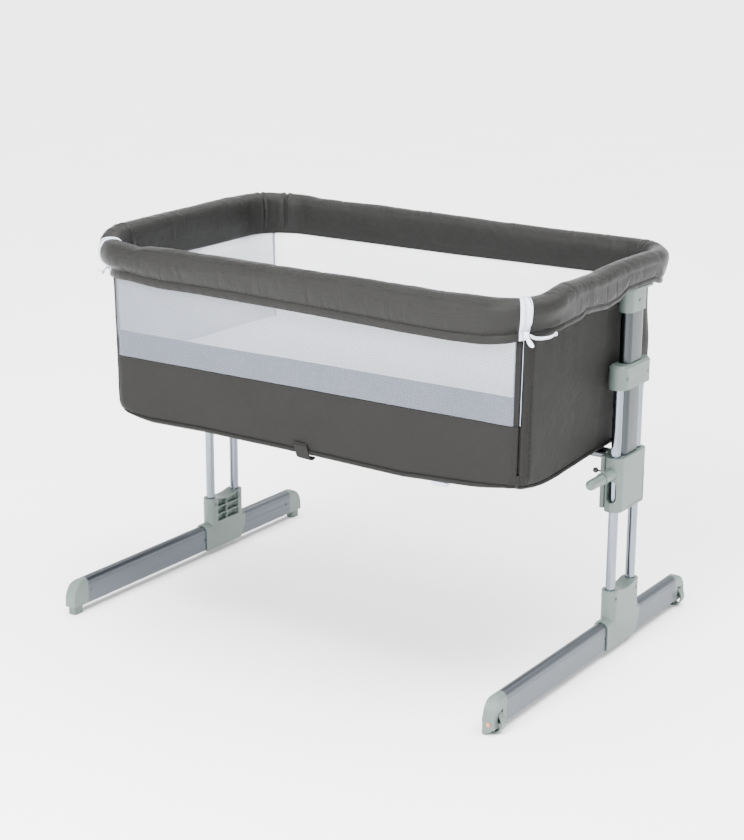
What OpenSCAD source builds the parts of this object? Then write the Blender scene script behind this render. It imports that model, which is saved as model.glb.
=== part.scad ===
// Bedside sleeper crib: two height-adjustable stands, a hanging fabric basket
// with a mesh drop side, a mattress deck and two transport wheels.
// Frame: +Z up, X along the length, -Y is the drop side, origin on the floor
// under the middle of the footprint. Millimetres.

/* [Stands] */
// Distance from the middle of the crib to each stand
stand_x = 440; // [438:1:442]
// Length of each foot bar between its end caps
bar_len = 618; // [600:1:630]
// Width of the foot bar section
bar_w = 22; // [21:0.5:23]
// Height of the bar underside over the floor
bar_z0 = 14.5; // [14:0.1:15]
// Height where the flat bar side turns into the crown
bar_flat = 51.5; // [49:0.5:53]
// Wall of the foot bar extrusion
bar_wall = 1.6; // [1:0.1:2.4]
// Length of each end cap along the bar
cap_len = 38; // [36:1:40]
// Depth of a foot pad along the bar
pad_len = 23; // [18:1:25]

/* [Telescopic tubes] */
// Radius of the four stand tubes
tube_r = 8.5; // [8:0.1:8.5]
// Wall of the stand tubes
tube_wall = 1.3; // [1:0.1:2]
// Depth position of the front stand tube
tube_y1 = 61.7; // [61:0.1:62]
// Depth position of the rear stand tube
tube_y2 = 137; // [136.5:0.1:137.5]
// Top of the stand tubes
tube_top = 507; // [500:1:508]
// Bottom of the stand tubes inside the saddle
tube_bot = 72; // [71:1:80]

/* [Saddles and collars] */
// Top of the saddle sockets
saddle_top = 114; // [110:1:118]
// Front end of the saddle sleeve
sleeve_y1 = 32.5; // [30:0.5:34]
// Rear end of the saddle sleeve
sleeve_y2 = 155; // [152:1:160]
// Underside of the collar
collar_z0 = 472; // [470:1:476]
// Top of the collar
collar_z1 = 513; // [510:1:515]

/* [Posts and sliders] */
// Depth of the post section
post_l = 55; // [53:0.5:55]
// Width of the post section
post_w = 22; // [20:0.5:22]
// Bottom of the post inside the slider housing
post_z0 = 300; // [290:1:310]
// Top of the post inside its bracket
post_z1 = 634; // [625:1:635]
// Underside of the slider housing
hous_z0 = 258; // [256:1:262]
// Top of the slider housing
hous_z1 = 353; // [350:1:356]
// Height of the release knob axis
knob_z = 326; // [324:1:328]
// Radius of the release knob
knob_r = 10; // [9:0.5:10]

/* [Basket] */
// Depth position of the basket front plane
front_y = -233; // [-235:1:-232]
// Height of the drop-side hinge line
hinge_z = 469.5; // [468:0.5:471]
// Top of the low inner barrier behind the window
barrier_z = 514; // [505:1:520]
// Underside of the basket
base_z = 353; // [352:1:355]
// Length of the mattress
matt_l = 820; // [800:5:822]
// Depth of the mattress
matt_w = 458; // [450:1:460]
// Top of the mattress
matt_top = 460; // [455:1:465]
// Thickness of the mattress
matt_t = 46; // [40:1:46]

/* [Top frame] */
// Radius of the top frame tubes
frame_r = 9.5; // [9:0.1:9.5]
// Height of the top frame tubes and the drop-side rail
frame_z = 660; // [659:1:661]
// Depth position of the drop-side rail
rail_y = -244; // [-245:1:-243]
// Depth position of the rear top tube
back_y = 268; // [267:1:269]

/* [Wheels] */
// Radius of the transport wheels
wheel_r = 18.5; // [18:0.1:18.5]
// Thickness of the transport wheels
wheel_t = 14; // [12:0.5:14]

/* [Hidden] */

$fn = 48;
C_PLASTIC = "#a9b3ad";
C_ALU = "#9aa0a6";
C_TUBE = "#b4bcc9";
C_CLOTH = "#5a5a57";
C_LIGHT = "#dfe2e6";
bar_mid_y = bar_len/2;               // joint face between bar and cap
cap_r = cap_len;                     // radius of the cap's rounded nose
bar_top = bar_flat + bar_w/2;
mid_y = (tube_y1 + tube_y2)/2;       // middle of the tube pair
sleeve_hw = 13.5;                    // half width of the saddle sleeve
sock_r = 14.5;                       // socket outer radius
coll_r = 17.5;                       // collar outer radius
hous_r = 16.5;                       // housing outer radius
matt_cy = 5;                         // middle of the mattress in depth
fcx = 370; fcy = -174;               // centre of the front corner bends
fcr = 70;                            // radius of the front corner bends
rcr = 100;                           // radius of the rear corner bends
e = 0.01;

// ---------- helpers ----------
module side(s) { if (s < 0) mirror([1, 0, 0]) children(); else children(); }
module rrect(w, l, r) {
  square([w - 2*r, l], center = true);
  square([w, l - 2*r], center = true);
  for (x = [-1, 1], y = [-1, 1]) translate([x*(w/2 - r), y*(l/2 - r)]) circle(r);
}
module stadium(r, y1, y2) {
  translate([0, y1]) circle(r);
  translate([0, y2]) circle(r);
  translate([-r, y1]) square([2*r, y2 - y1]);
}
// a profile drawn in X and Z, pulled along Y from y1 to y2
module along_y(y1, y2) translate([0, y2, 0]) rotate([90, 0, 0]) linear_extrude(y2 - y1) children();
// a profile drawn in Y and Z, pulled along X from x1 to x2
module along_x(x1, x2) translate([x1, 0, 0]) rotate([90, 0, 90]) linear_extrude(x2 - x1) children();
module rod_y(r, x, z, y1, y2) translate([x, y1, z]) rotate([-90, 0, 0]) cylinder(r = r, h = y2 - y1);
module rod_x(r, y, z, x1, x2) translate([x1, y, z]) rotate([0, 90, 0]) cylinder(r = r, h = x2 - x1);
// round bar between two points
module rod(r, a, b) {
  d = b - a; l = norm(d);
  translate(a) rotate([0, acos(d[2]/l), atan2(d[1], d[0])]) cylinder(r = r, h = l);
}
// pan-head screw whose head stands on a face at x, pointing along +X
module screw_x(x, y, z, r = 3, l = 8) {
  rod_x(r, y, z, x, x + 1.6);
  rod_x(r*0.45, y, z, x - l, x + 0.2);
}

// ---------- foot bars ----------
module bar_profile(g = 0) {
  hw = bar_w/2 + g;
  translate([-hw, bar_z0 - g]) square([2*hw, bar_flat - bar_z0 + g]);
  translate([0, bar_flat]) circle(hw);
}
module foot_bar(s) color(C_ALU) side(s) translate([stand_x, 0, 0]) difference() {
  along_y(-bar_mid_y, bar_mid_y) difference() {
    bar_profile();
    bar_profile(-bar_wall);
    // shallow groove under the crown on both sides
    for (k = [-1, 1]) translate([k*bar_w/2, bar_flat - 0.6]) square([1, 1.4], center = true);
  }
  // screw holes at both ends and the small holes beside the saddle
  for (y = [-(bar_mid_y - 10), bar_mid_y - 10]) rod_x(1.6, y, 36, -bar_w/2 - 1, 0);
  for (x = [[-bar_w/2 - 1, 0], [0, bar_w/2 + 1]]) rod_x(2, sleeve_y1 - 4, 36, x[0], x[1]);
}

// ---------- end caps ----------
module cap_body() {
  intersection() {
    along_x(-bar_w/2, bar_w/2) intersection() {
      union() {
        translate([-bar_mid_y, 25.6]) circle(cap_r);
        translate([-bar_mid_y - cap_r, 0]) square([cap_r, 25.6]);
      }
      translate([-bar_mid_y - cap_r - 1, bar_z0]) square([cap_r + 1, 100]);
    }
    along_y(-bar_mid_y - cap_r - 1, -bar_mid_y + 1) bar_profile();
  }
}
module cap_plug() along_y(-bar_mid_y - 1, -bar_mid_y + 18) intersection() {
  bar_profile(-bar_wall - 0.15);
  translate([-20, bar_z0]) square([40, 38]);
}
// closed cap with its pocket for the foot pad
module plain_cap() difference() {
  union() { cap_body(); cap_plug(); }
  rod_x(1.3, -(bar_mid_y - 10), 36, -12, 0);
}
module end_cap_left(k) color(C_PLASTIC) side(-1) translate([stand_x, 0, 0]) mirror([0, k, 0]) plain_cap();
module foot_pads() color(C_PLASTIC) side(-1) translate([stand_x, 0, 0])
  for (k = [0, 1]) mirror([0, k, 0])
    translate([0, -bar_mid_y - cap_r + 3 + pad_len/2, 0]) linear_extrude(bar_z0) rrect(bar_w - 4, pad_len, 5);

axle_y = -bar_mid_y - 19.5;           // middle of the front wheel
axle_z = wheel_r;
module wheel_cap() difference() {
  union() {
    cap_body();
    cap_plug();
    // nose plate that reaches the floor with a slanted lower edge
    along_y(-bar_mid_y - cap_r, -bar_mid_y - cap_r + 9.6)
      polygon([[-bar_w/2, bar_z0 + 2], [-bar_w/2, 2], [-bar_w/2 + 1.6, 0], [-bar_w/2 + 5, 0], [bar_w/2, 12], [bar_w/2, bar_z0 + 2]]);
  }
  // wheel well
  rod_y(wheel_r + 2, 0, axle_z, axle_y - wheel_t/2 - 1.2, axle_y + wheel_t/2 + 1.2);
  translate([-12, axle_y - wheel_t/2 - 1.2, 0]) cube([24, wheel_t + 2.4, axle_z]);
  // three-cornered window over the wheel on the outer side
  along_x(0, 12) polygon([[axle_y - 4, 35], [axle_y + wheel_t/2 + 1, 35], [axle_y + wheel_t/2 + 1, 40]]);
  // axle bore
  rod_y(2.5, 0, axle_z, -bar_mid_y - cap_r - 5, -bar_mid_y - 4);
  // screw pilot
  rod_x(1.3, -(bar_mid_y - 10), 36, -12, 0);
}
module end_cap_right(k) color(C_PLASTIC) translate([stand_x, 0, 0]) mirror([0, k, 0]) wheel_cap();
module wheel_axles() color("#b08050") translate([stand_x, 0, 0]) for (k = [0, 1]) mirror([0, k, 0]) {
  rod_y(2.5, 0, axle_z, -bar_mid_y - cap_r - 0.2, -bar_mid_y - 4);
  rod_y(3.4, 0, axle_z, -bar_mid_y - cap_r - 1, -bar_mid_y - cap_r);
}
module wheel(k) color(C_PLASTIC) translate([stand_x, 0, axle_z]) mirror([0, k, 0]) translate([0, axle_y, 0]) difference() {
  rotate([90, 0, 0]) cylinder(r = wheel_r, h = wheel_t, center = true);
  rotate([90, 0, 0]) cylinder(r = 2.55, h = wheel_t + 2, center = true);
  // recessed faces between rim and hub
  for (y = [-1, 1]) translate([0, y*wheel_t/2, 0]) rotate([90, 0, 0]) difference() {
    cylinder(r = wheel_r - 2.6, h = 5, center = true);
    cylinder(r = 5, h = 6, center = true);
    for (a = [0:72:359]) rotate(a) translate([0, -1, -3]) cube([wheel_r, 2, 6]);
  }
  // openings between the spokes
  rotate([90, 0, 0]) difference() {
    cylinder(r = wheel_r - 2.6, h = wheel_t + 2, center = true);
    cylinder(r = 5, h = wheel_t + 4, center = true);
    for (a = [0:72:359]) rotate(a) translate([0, -1, -wheel_t]) cube([wheel_r, 2, 2*wheel_t]);
  }
}

// ---------- saddles ----------
module saddle(s) color(C_PLASTIC) side(s) translate([stand_x, 0, 0]) difference() {
  union() {
    along_y(sleeve_y1, sleeve_y2) {
      translate([-sleeve_hw, 12]) square([2*sleeve_hw, bar_flat + 1 - 12]);
      translate([0, bar_flat + 1]) circle(sleeve_hw);
    }
    translate([0, 0, 50]) linear_extrude(saddle_top - 50) stadium(sock_r, tube_y1, tube_y2);
    // lug under the sleeve
    translate([-9, 123, 9.6]) cube([18, 13, 4]);
  }
  // foot bar passes through
  along_y(sleeve_y1 - 1, sleeve_y2 + 1) bar_profile(0.05);
  // tube sockets
  for (y = [tube_y1, tube_y2]) translate([0, y, tube_bot - 0.5]) cylinder(r = tube_r + 0.05, h = 80);
  // dished top between the sockets
  rod_x(110, mid_y, saddle_top + 105.4, -20, 20, $fn = 160);
  // rear lower corner cut off
  along_x(-20, 20) polygon([[139, 11], [139, 12], [sleeve_y2, 40], [sleeve_y2 + 1, 40], [sleeve_y2 + 1, 11]]);
  // pocket grid on the inner face, closed by the round socket walls and the dish
  difference() {
    for (y = [[66.5, 93.6], [95.6, 131]], z = [[65.5, 78.6], [80.4, 93.6], [95.4, 116]])
      translate([-sock_r - 1, y[0], z[0]]) cube([9.5, y[1] - y[0], z[1] - z[0]]);
    for (y = [tube_y1, tube_y2]) translate([0, y, 60]) cylinder(r = tube_r + 2.6, h = 60);
    rod_x(112, mid_y, saddle_top + 105.4, -20, 20, $fn = 160);
  }
  // screw pilots
  for (y = [tube_y1 - 4, tube_y2 - 4]) rod_x(1.35, y, 100, 0, 20);
  for (y = [tube_y1 - 2, tube_y2 - 2]) rod_x(1.35, y, 102, -20, 0);
  // flat recesses that the screw heads sit in
  for (y = [tube_y1 - 4, tube_y2 - 4]) rod_x(3.4, y, 100, sock_r - 0.9, 20);
  for (y = [tube_y1 - 2, tube_y2 - 2]) rod_x(3.4, y, 102, -20, -sock_r + 0.9);
}

// ---------- stand tubes ----------
module stand_tube(s, y, k) color(C_TUBE) side(s) translate([stand_x, y, 0]) difference() {
  translate([0, 0, tube_bot]) cylinder(r = tube_r, h = tube_top - tube_bot);
  translate([0, 0, tube_bot - 1]) cylinder(r = tube_r - tube_wall, h = tube_top - tube_bot + 2);
  // long slot that faces the other tube
  translate([-1, k > 0 ? 0 : -tube_r - 1, 120]) cube([2, tube_r + 1, 345]);
}

// ---------- collars ----------
module collar(s) color(C_PLASTIC) side(s) translate([stand_x, 0, 0]) difference() {
  hull() {
    translate([0, 0, collar_z0]) linear_extrude(collar_z1 - collar_z0 - 4) stadium(coll_r, tube_y1, tube_y2, $fn = 32);
    translate([0, 0, collar_z0]) linear_extrude(collar_z1 - collar_z0) stadium(coll_r - 3.5, tube_y1, tube_y2, $fn = 32);
  }
  // tube sockets, open below
  for (y = [tube_y1, tube_y2]) translate([0, y, collar_z0 - 1]) cylinder(r = tube_r + 0.05, h = tube_top - collar_z0 + 1.2);
  // guide for the post
  translate([0, mid_y, collar_z0 - 1]) linear_extrude(60) rrect(post_w + 0.8, post_l + 0.8, 11.3);
  // screw pilots
  rod_x(1.35, tube_y1 - 3, 491, 10, 20);
  rod_x(1.35, tube_y2 - 3, 491, 10, 20);
  // flat recesses that the screw heads sit in
  for (y = [tube_y1 - 3, tube_y2 - 3]) rod_x(3.4, y, 491, coll_r - 0.9, 20);
}

module stand_screws(s) color("#3a3d40") side(s) translate([stand_x, 0, 0]) {
  for (y = [tube_y1 - 4, tube_y2 - 4]) screw_x(sock_r - 0.9, y, 100, 2.6, 3);
  for (y = [tube_y1 - 3, tube_y2 - 3]) screw_x(coll_r - 0.9, y, 491, 2.6, 5);
  for (y = [tube_y1 - 2, tube_y2 - 2]) mirror([1, 0, 0]) screw_x(sock_r - 0.9, y, 102, 2.6, 3);
  for (y = [-(bar_mid_y - 10), bar_mid_y - 10]) mirror([1, 0, 0]) screw_x(bar_w/2, y, 36, 2.8, 5);
}

// ---------- posts and brackets ----------
module post(s) color("#8f979d") side(s) translate([stand_x, mid_y, 0]) difference() {
  translate([0, 0, post_z0]) linear_extrude(post_z1 - post_z0) rrect(post_w, post_l, 10.9);
  translate([0, 0, post_z0 - 1]) linear_extrude(post_z1 - post_z0 + 2) rrect(post_w - 4, post_l - 4, 8.9);
}
module bracket(s) color(C_PLASTIC) side(s) translate([stand_x, 0, 0]) difference() {
  union() {
    translate([0, mid_y, 600]) linear_extrude(38) rrect(27, 66, 13.3);
    // lip over the sleeve
    translate([2, mid_y + 11, 637]) linear_extrude(3.5) rrect(30, 80, 12);
    // saddle block under the top tube
    translate([-13, mid_y - 28, 638]) cube([26, 56, frame_z - 638]);
  }
  translate([0, mid_y, 599]) linear_extrude(post_z1 - 599 + 0.2) rrect(post_w + 0.1, post_l + 0.1, 10.95);
  rod_y(frame_r + 0.05, 0, frame_z, mid_y - 40, mid_y + 40);
  rod_x(1.35, mid_y, 618, 11, 15);
}

// ---------- slider housings ----------
module housing_outline() stadium(hous_r, tube_y1, tube_y2);
module housing_cavity() {
  for (y = [tube_y1, tube_y2]) translate([0, y, hous_z0 - 1]) cylinder(r = tube_r + 0.35, h = 120);
  translate([0, mid_y, post_z0]) linear_extrude(80) rrect(post_w + 0.1, post_l + 0.1, 10.95);
  // lightening pocket under the post
  translate([0, mid_y, hous_z0 + 6]) linear_extrude(post_z0 - hous_z0 - 12) rrect(20, 40, 5);
  // viewing window over the front tube
  translate([1, tube_y1 - 25, 0]) rotate([0, 0, 0]) {
    rod_y(8.6, 0, 304.5, -5, 25);
    rod_y(8.6, 0, 283, -5, 25);
    translate([-8.6, -5, 283]) cube([17.2, 30, 21.5]);
  }
  // plunger bore and spring chamber
  rod_y(4.1, 0, knob_z, 0, tube_y1);
  rod_y(7, 0, knob_z, 20, 41);
}
module knob_boss() {
  rod_y(knob_r, 0, knob_z, 12, tube_y1 - 8);
  rod_y(knob_r + 0.8, 0, knob_z, 12, 15);
}
module housing_outer(s) color(C_PLASTIC) side(s) translate([stand_x, 0, 0]) difference() {
  union() {
    intersection() {
      translate([0, 0, hous_z0]) linear_extrude(hous_z1 - hous_z0) housing_outline();
      translate([0, 0, hous_z0 - 1]) cube([40, 200, 120]);
    }
    difference() {
      knob_boss();
      translate([-30, tube_y1 - hous_r + 3, hous_z0]) cube([30, 40, 120]);
    }
  }
  housing_cavity();
  // shallow step on the outer face
  intersection() {
    rod_x(42, mid_y + 18, 276, hous_r - 0.7, hous_r + 2);
    translate([10, mid_y - 22, 262]) cube([20, 62, 90]);
  }
}
module housing_inner(s) color("#9aa5a0") side(s) translate([stand_x, 0, 0]) difference() {
  union() {
    intersection() {
      translate([0, 0, hous_z0]) linear_extrude(hous_z1 - hous_z0) housing_outline();
      translate([-40, 0, hous_z0 - 1]) cube([40, 200, 120]);
    }
    // thick web that carries the cross beam
    translate([-19, 100, hous_z0 + 4]) linear_extrude(hous_z1 - hous_z0 - 4) rrect(9, 98, 3);
    translate([-28, 80, 332]) cube([14, 40, hous_z1 - 332]);
  }
  housing_cavity();
  difference() {
    rod_y(knob_r + 0.05, 0, knob_z, 0, tube_y1 - hous_r + 3);
  }
  // seat of the cross beam
  along_x(-40, -16) translate([mid_y, 344]) rrect(30.2, 14.2, 6.95);
  // hole of the beam knob
  rod_x(1.6, 56, 325, -30, -18);
}
module cross_beam() color(C_ALU) difference() {
  along_x(-stand_x + 16.1, stand_x - 16.1) translate([mid_y, 344]) rrect(30, 14, 6.9);
  along_x(-stand_x + 1, stand_x - 1) translate([mid_y, 344]) rrect(26.4, 10.4, 5);
}
module beam_knobs() color("#1c1d1e") for (s = [-1, 1]) side(s) translate([stand_x, 0, 0]) {
  rod_x(1.5, 56, 325, -34, -19);
  translate([-35, 56, 325]) rotate([0, 90, 0]) rotate_extrude()
    polygon([[0, -3], [3, -3], [4.6, -1], [4.8, 1.5], [3.6, 4.5], [1.5, 5.5], [0, 5.5]]);
}
module basket_screws() color("#3a3d40") for (s = [-1, 1]) side(s) translate([stand_x, 0, 0]) {
  screw_x(13.5, mid_y, 618, 2.6, 2);
}

// ---------- release ----------
module release_knob(s) color(C_PLASTIC) side(s) translate([stand_x, 0, knob_z]) rotate([-90, 0, 0]) rotate_extrude()
  polygon(concat([[0, 10.8], [9.6, 10.8], [9.6, 4], [9.0, 2], [9.0, -27]],
    [for (a = [10:10:80]) [9.0*cos(a), -27 - 9.0*sin(a)]], [[0, -36]]));
module lock_plunger(s) color("#c8ccd0") side(s) translate([stand_x, 0, 0]) difference() {
  union() {
    rod_y(4, 0, knob_z, 10.8, tube_y1);
    rod_y(6.6, 0, knob_z, 37.2, 39);
  }
  translate([0, tube_y1, knob_z - 20]) cylinder(r = tube_r + 0.35, h = 40);
}
// one coil as a tube swept along the helix
sp_r = 5.4; sp_w = 0.55; sp_n = 5; sp_y0 = 21; sp_y1 = 36.4;
sp_steps = 60; sp_k = 6;
function sp_pt(i, j) = let (t = i/sp_steps, a = 360*sp_n*t, b = 360*j/sp_k, r = sp_r + sp_w*cos(b))
  [r*cos(a), sp_y0 + (sp_y1 - sp_y0)*t + sp_w*sin(b), r*sin(a)];
module plunger_spring(s) color("#8a8f94") side(s) translate([stand_x, 0, knob_z]) polyhedron(
  points = [for (i = [0:sp_steps], j = [0:sp_k - 1]) sp_pt(i, j)],
  faces = concat(
    [[for (j = [0:sp_k - 1]) j]],
    [for (i = [0:sp_steps - 1], j = [0:sp_k - 1]) [i*sp_k + j, (i + 1)*sp_k + j, (i + 1)*sp_k + (j + 1)%sp_k, i*sp_k + (j + 1)%sp_k]],
    [[for (j = [sp_k - 1:-1:0]) sp_steps*sp_k + j]]));

// ---------- top frame ----------
module tubes_top(s, r, x = 0) side(s) {
  rod_y(r, stand_x, frame_z, fcy, back_y - rcr);
  // front corner bend up to the joint with the rail
  translate([fcx, fcy, frame_z]) rotate_extrude(angle = -44.8 - x) translate([fcr, 0]) circle(r);
  // rear corner bend
  translate([stand_x - rcr, back_y - rcr, frame_z]) rotate_extrude(angle = 90 + x) translate([rcr, 0]) circle(r);
}
frame_in = frame_r - 1.2;
module side_tube(s) color("#b9bdc1") difference() { tubes_top(s, frame_r); tubes_top(s, frame_in, 1); }
module back_tube() color("#b9bdc1") difference() {
  rod_x(frame_r, back_y, frame_z, -(stand_x - rcr), stand_x - rcr);
  rod_x(frame_in, back_y, frame_z, -stand_x, stand_x);
}
module rail(r, x = 0) {
  rod_x(r, rail_y, frame_z, -fcx, fcx);
  for (s = [-1, 1]) side(s) translate([fcx, fcy, frame_z]) rotate([0, 0, -90]) rotate_extrude(angle = 44.2 + x) translate([fcr, 0]) circle(r);
}
module front_rail() color("#b9bdc1") difference() { rail(frame_r); rail(frame_in, 1); }
// sleeves on the side tubes that meet the rail ends
module corner_sockets() color(C_PLASTIC) for (s = [-1, 1]) side(s) translate([fcx, fcy, frame_z])
  rotate([0, 0, -44.6]) rotate_extrude(angle = 20) translate([fcr, 0]) difference() { circle(11.8); circle(frame_r + 0.05); }

// ---------- basket interior ----------
deck_z = matt_top - matt_t - 6;
deck_r = 5;
deck_foot = base_z + 2.5 + deck_r;
module deck_frame() color("#8d9196") {
  for (y = [-190, 200]) rod_x(deck_r, y, deck_foot, -370, 370);
  for (x = [-330, 0, 330]) {
    for (y = [-190, 200]) translate([x, y, deck_foot]) cylinder(r = deck_r, h = deck_z - deck_r - deck_foot);
    rod_y(deck_r, x, deck_z - deck_r, -205, 215);
  }
}
module mattress_board() color("#c9b797") translate([0, matt_cy, deck_z]) linear_extrude(6) rrect(matt_l - 14, matt_w - 14, 20);
module mattress() color(C_LIGHT) translate([0, matt_cy, matt_top - matt_t]) linear_extrude(matt_t - 0.5) rrect(matt_l - 6, matt_w - 6, 40);

// ---------- fabric walls ----------
wall_t = 3.5;
lean = 3.2;     // lean of the end walls in degrees
back_lean = 3.5;
module end_wall(s) color(C_CLOTH) side(s) translate([408, 0, base_z + 3]) rotate([0, lean, 0])
  translate([-wall_t, 0, 0]) rotate([90, 0, 90]) linear_extrude(wall_t) difference() {
    translate([-200, 0]) square([434, 268]);
    // rounded lower corners
    translate([-200, 0]) difference() { translate([-1, -1]) square([41, 41]); translate([40, 40]) circle(40); }
    translate([194, 0]) difference() { square([41, 41]); circle(40); translate([0, 40]) circle(40); }
  }
module back_panel() color(C_CLOTH) translate([0, 238, base_z + 3]) rotate([-back_lean, 0, 0])
  rotate([90, 0, 0]) linear_extrude(wall_t) polygon([[-370, 0], [370, 0], [388, 6], [402, 24], [417, 268], [-417, 268], [-402, 24], [-388, 6]]);
module front_skirt() along_y(front_y + 0.5, front_y + 0.5 + wall_t) {
  r = 40;
  difference() {
    translate([-390, base_z]) square([780, hinge_z - 1 - base_z]);
    for (k = [-1, 1]) translate([k*390, base_z]) difference() {
      square([2*r, 2*r], center = true);
      translate([-k*r, r]) circle(r);
    }
  }
}
module front_lower_panel() color(C_CLOTH) {
  front_skirt();
  // low inner barrier that stands behind the foot of the window
  translate([-388, front_y + 4, matt_top - matt_t - 8]) cube([776, 2.5, barrier_z - matt_top + matt_t + 8]);
}
module bottom_panel() color(C_CLOTH) translate([0, 2, base_z - 0.5]) linear_extrude(wall_t - 0.5) rrect(764, 456, 30);
// rounded fabric corners beside the drop side
module front_corners() color(C_CLOTH) for (s = [-1, 1]) side(s) {
  translate([394, -203, hinge_z]) rotate([0, 0, -52]) rotate_extrude(angle = 50) translate([26.5, 0]) square([wall_t, 640 - hinge_z]);
  translate([380, -203, base_z + 46]) rotate([0, 0, -66]) rotate_extrude(angle = 62) translate([26.5, 0]) square([wall_t, hinge_z - base_z - 48]);
}

// ---------- padded rim ----------
// section of a rim, u is the outward distance from the tube axis
module rim_section(zc, drop_out, drop_in, crest) polygon([
  [-20, zc - drop_in], [-20, zc + 1], [-17, zc + crest - 6], [-9, zc + crest - 1], [2, zc + crest],
  [12, zc + crest - 2], [20, zc + crest - 8], [25, zc + 1], [23, zc - drop_out + 12], [22, zc - drop_out],
  [18.5, zc - drop_out], [18, zc - 5], [12.6, zc + 4], [6, zc + 12.4], [-6, zc + 12.4], [-12.6, zc + 4],
  [-16, zc - 4], [-16, zc - drop_in]]);
module rim_side(s) color(C_CLOTH) side(s) {
  difference() {
    along_y(fcy, back_y - rcr) translate([stand_x, 0]) rim_section(frame_z, 36, 34, 34);
    // room for the bracket
    translate([stand_x - 16.2, mid_y - 40, 590]) cube([34, 100, 52]);
  }
  translate([fcx, fcy, 0]) rotate_extrude(angle = -44.4) translate([fcr, 0]) rim_section(frame_z, 50, 34, 14.5);
}
module rim_back() color(C_CLOTH) {
  along_x(-stand_x + rcr, stand_x - rcr) translate([back_y, 0]) rim_section(frame_z, 36, 34, 34);
  for (s = [-1, 1]) side(s) translate([stand_x - rcr, back_y - rcr, 0]) rotate_extrude(angle = 90) translate([rcr, 0]) rim_section(frame_z, 36, 34, 34);
}
module rim_front() color(C_CLOTH) {
  along_x(-fcx, fcx) mirror([1, 0]) translate([-rail_y, 0]) rim_section(frame_z, 57, 34, 14.5);
  for (s = [-1, 1]) side(s) translate([fcx, fcy, 0]) rotate([0, 0, -90]) rotate_extrude(angle = 44.4) translate([fcr, 0]) rim_section(frame_z, 57, 34, 14.5);
}
module mesh_window() color("#c8ccd2") {
  translate([-392, front_y - 1.8, hinge_z + 1]) cube([784, 1.6, 640 - hinge_z - 1]);
  // piping in the fold line that the side turns about
  rod_x(1.2, front_y - 1, hinge_z, -389, 389);
  for (s = [-1, 1]) side(s)
    translate([392, -204.6, hinge_z + 1]) rotate([0, 0, -90]) rotate_extrude(angle = 34) translate([28.6, 0]) square([1.6, 640 - hinge_z - 1]);
}
// closed zip over the end of the front rim, lying on its outer face
module zip_tapes() color("#eef1f4") for (s = [-1, 1]) side(s) translate([fcx, fcy, 0]) rotate([0, 0, -49.5])
  rotate_extrude(angle = 4.4) translate([fcr, frame_z]) polygon([
    [-2, 14.14], [2, 14.5], [12, 12.5], [20, 6.5], [25, 1], [23.26, -39],
    [24.5, -39], [26.3, 1.3], [20.9, 7.5], [12.5, 13.8], [2.1, 15.8], [-2.1, 15.4]]);
// slider and pull at the foot of the zip over the rim
module zip_slider(s) color("#e3e8ee") side(s) translate([fcx, fcy, 0]) rotate([0, 0, -47.3]) translate([fcr + 25.4, 0, 0]) {
  translate([0, -4.5, 613]) cube([2.6, 9, 11]);
  translate([2.6, -1.2, 616]) cube([1.2, 2.4, 6]);
  translate([3.8, -4, 596]) cube([1.4, 8, 25]);
}

// ---------- strap loop under the front hem ----------
module strap_loop() color("#4d4d4b") {
  // webbing turned under the hem
  translate([-18, front_y - 2.6, 345]) cube([34, 1.6, 31]);
  translate([-18, front_y - 2.6, 345]) cube([34, 12, 1.6]);
  translate([-18, front_y + 9.4 - 1.6, 345]) cube([34, 1.6, 7]);
}

foot_bar(-1);  // foot_bar_left
end_cap_left(0);  // end_cap_front_left
end_cap_left(1);  // end_cap_rear_left
foot_pads();
saddle(-1);  // saddle_left
stand_tube(-1, tube_y1, 1);  // tube_front_left
stand_tube(-1, tube_y2, -1);  // tube_rear_left
collar(-1);  // collar_left
stand_screws(-1);  // stand_screws_left
foot_bar(1);  // foot_bar_right
end_cap_right(0);  // end_cap_front_right
end_cap_right(1);  // end_cap_rear_right
saddle(1);  // saddle_right
stand_tube(1, tube_y1, 1);  // tube_front_right
stand_tube(1, tube_y2, -1);  // tube_rear_right
collar(1);  // collar_right
stand_screws(1);  // stand_screws_right
wheel_axles();
wheel(0);  // wheel_front
wheel(1);  // wheel_rear
post(-1);  // post_left
post(1);  // post_right
bracket(-1);  // bracket_left
bracket(1);  // bracket_right
housing_outer(-1);  // housing_outer_left
housing_outer(1);  // housing_outer_right
housing_inner(-1);  // housing_inner_left
housing_inner(1);  // housing_inner_right
cross_beam();
beam_knobs();
basket_screws();
side_tube(-1);  // side_tube_left
side_tube(1);  // side_tube_right
back_tube();
corner_sockets();
deck_frame();
mattress_board();
mattress();
back_panel();
end_wall(-1);  // left_panel
end_wall(1);  // right_panel
front_lower_panel();
bottom_panel();
front_corners();
rim_back();
rim_side(-1);  // rim_left
rim_side(1);  // rim_right
strap_loop();
release_knob(-1);  // release_knob_left
release_knob(1);  // release_knob_right
lock_plunger(-1);  // lock_plunger_left
lock_plunger(1);  // lock_plunger_right
plunger_spring(-1);  // plunger_spring_left
plunger_spring(1);  // plunger_spring_right
front_rail();
rim_front();
mesh_window();
zip_tapes();
zip_slider(-1);  // zip_slider_left
zip_slider(1);  // zip_slider_right
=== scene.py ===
import math

import bmesh
import bpy
import numpy as np
from mathutils import Matrix, Vector


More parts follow.
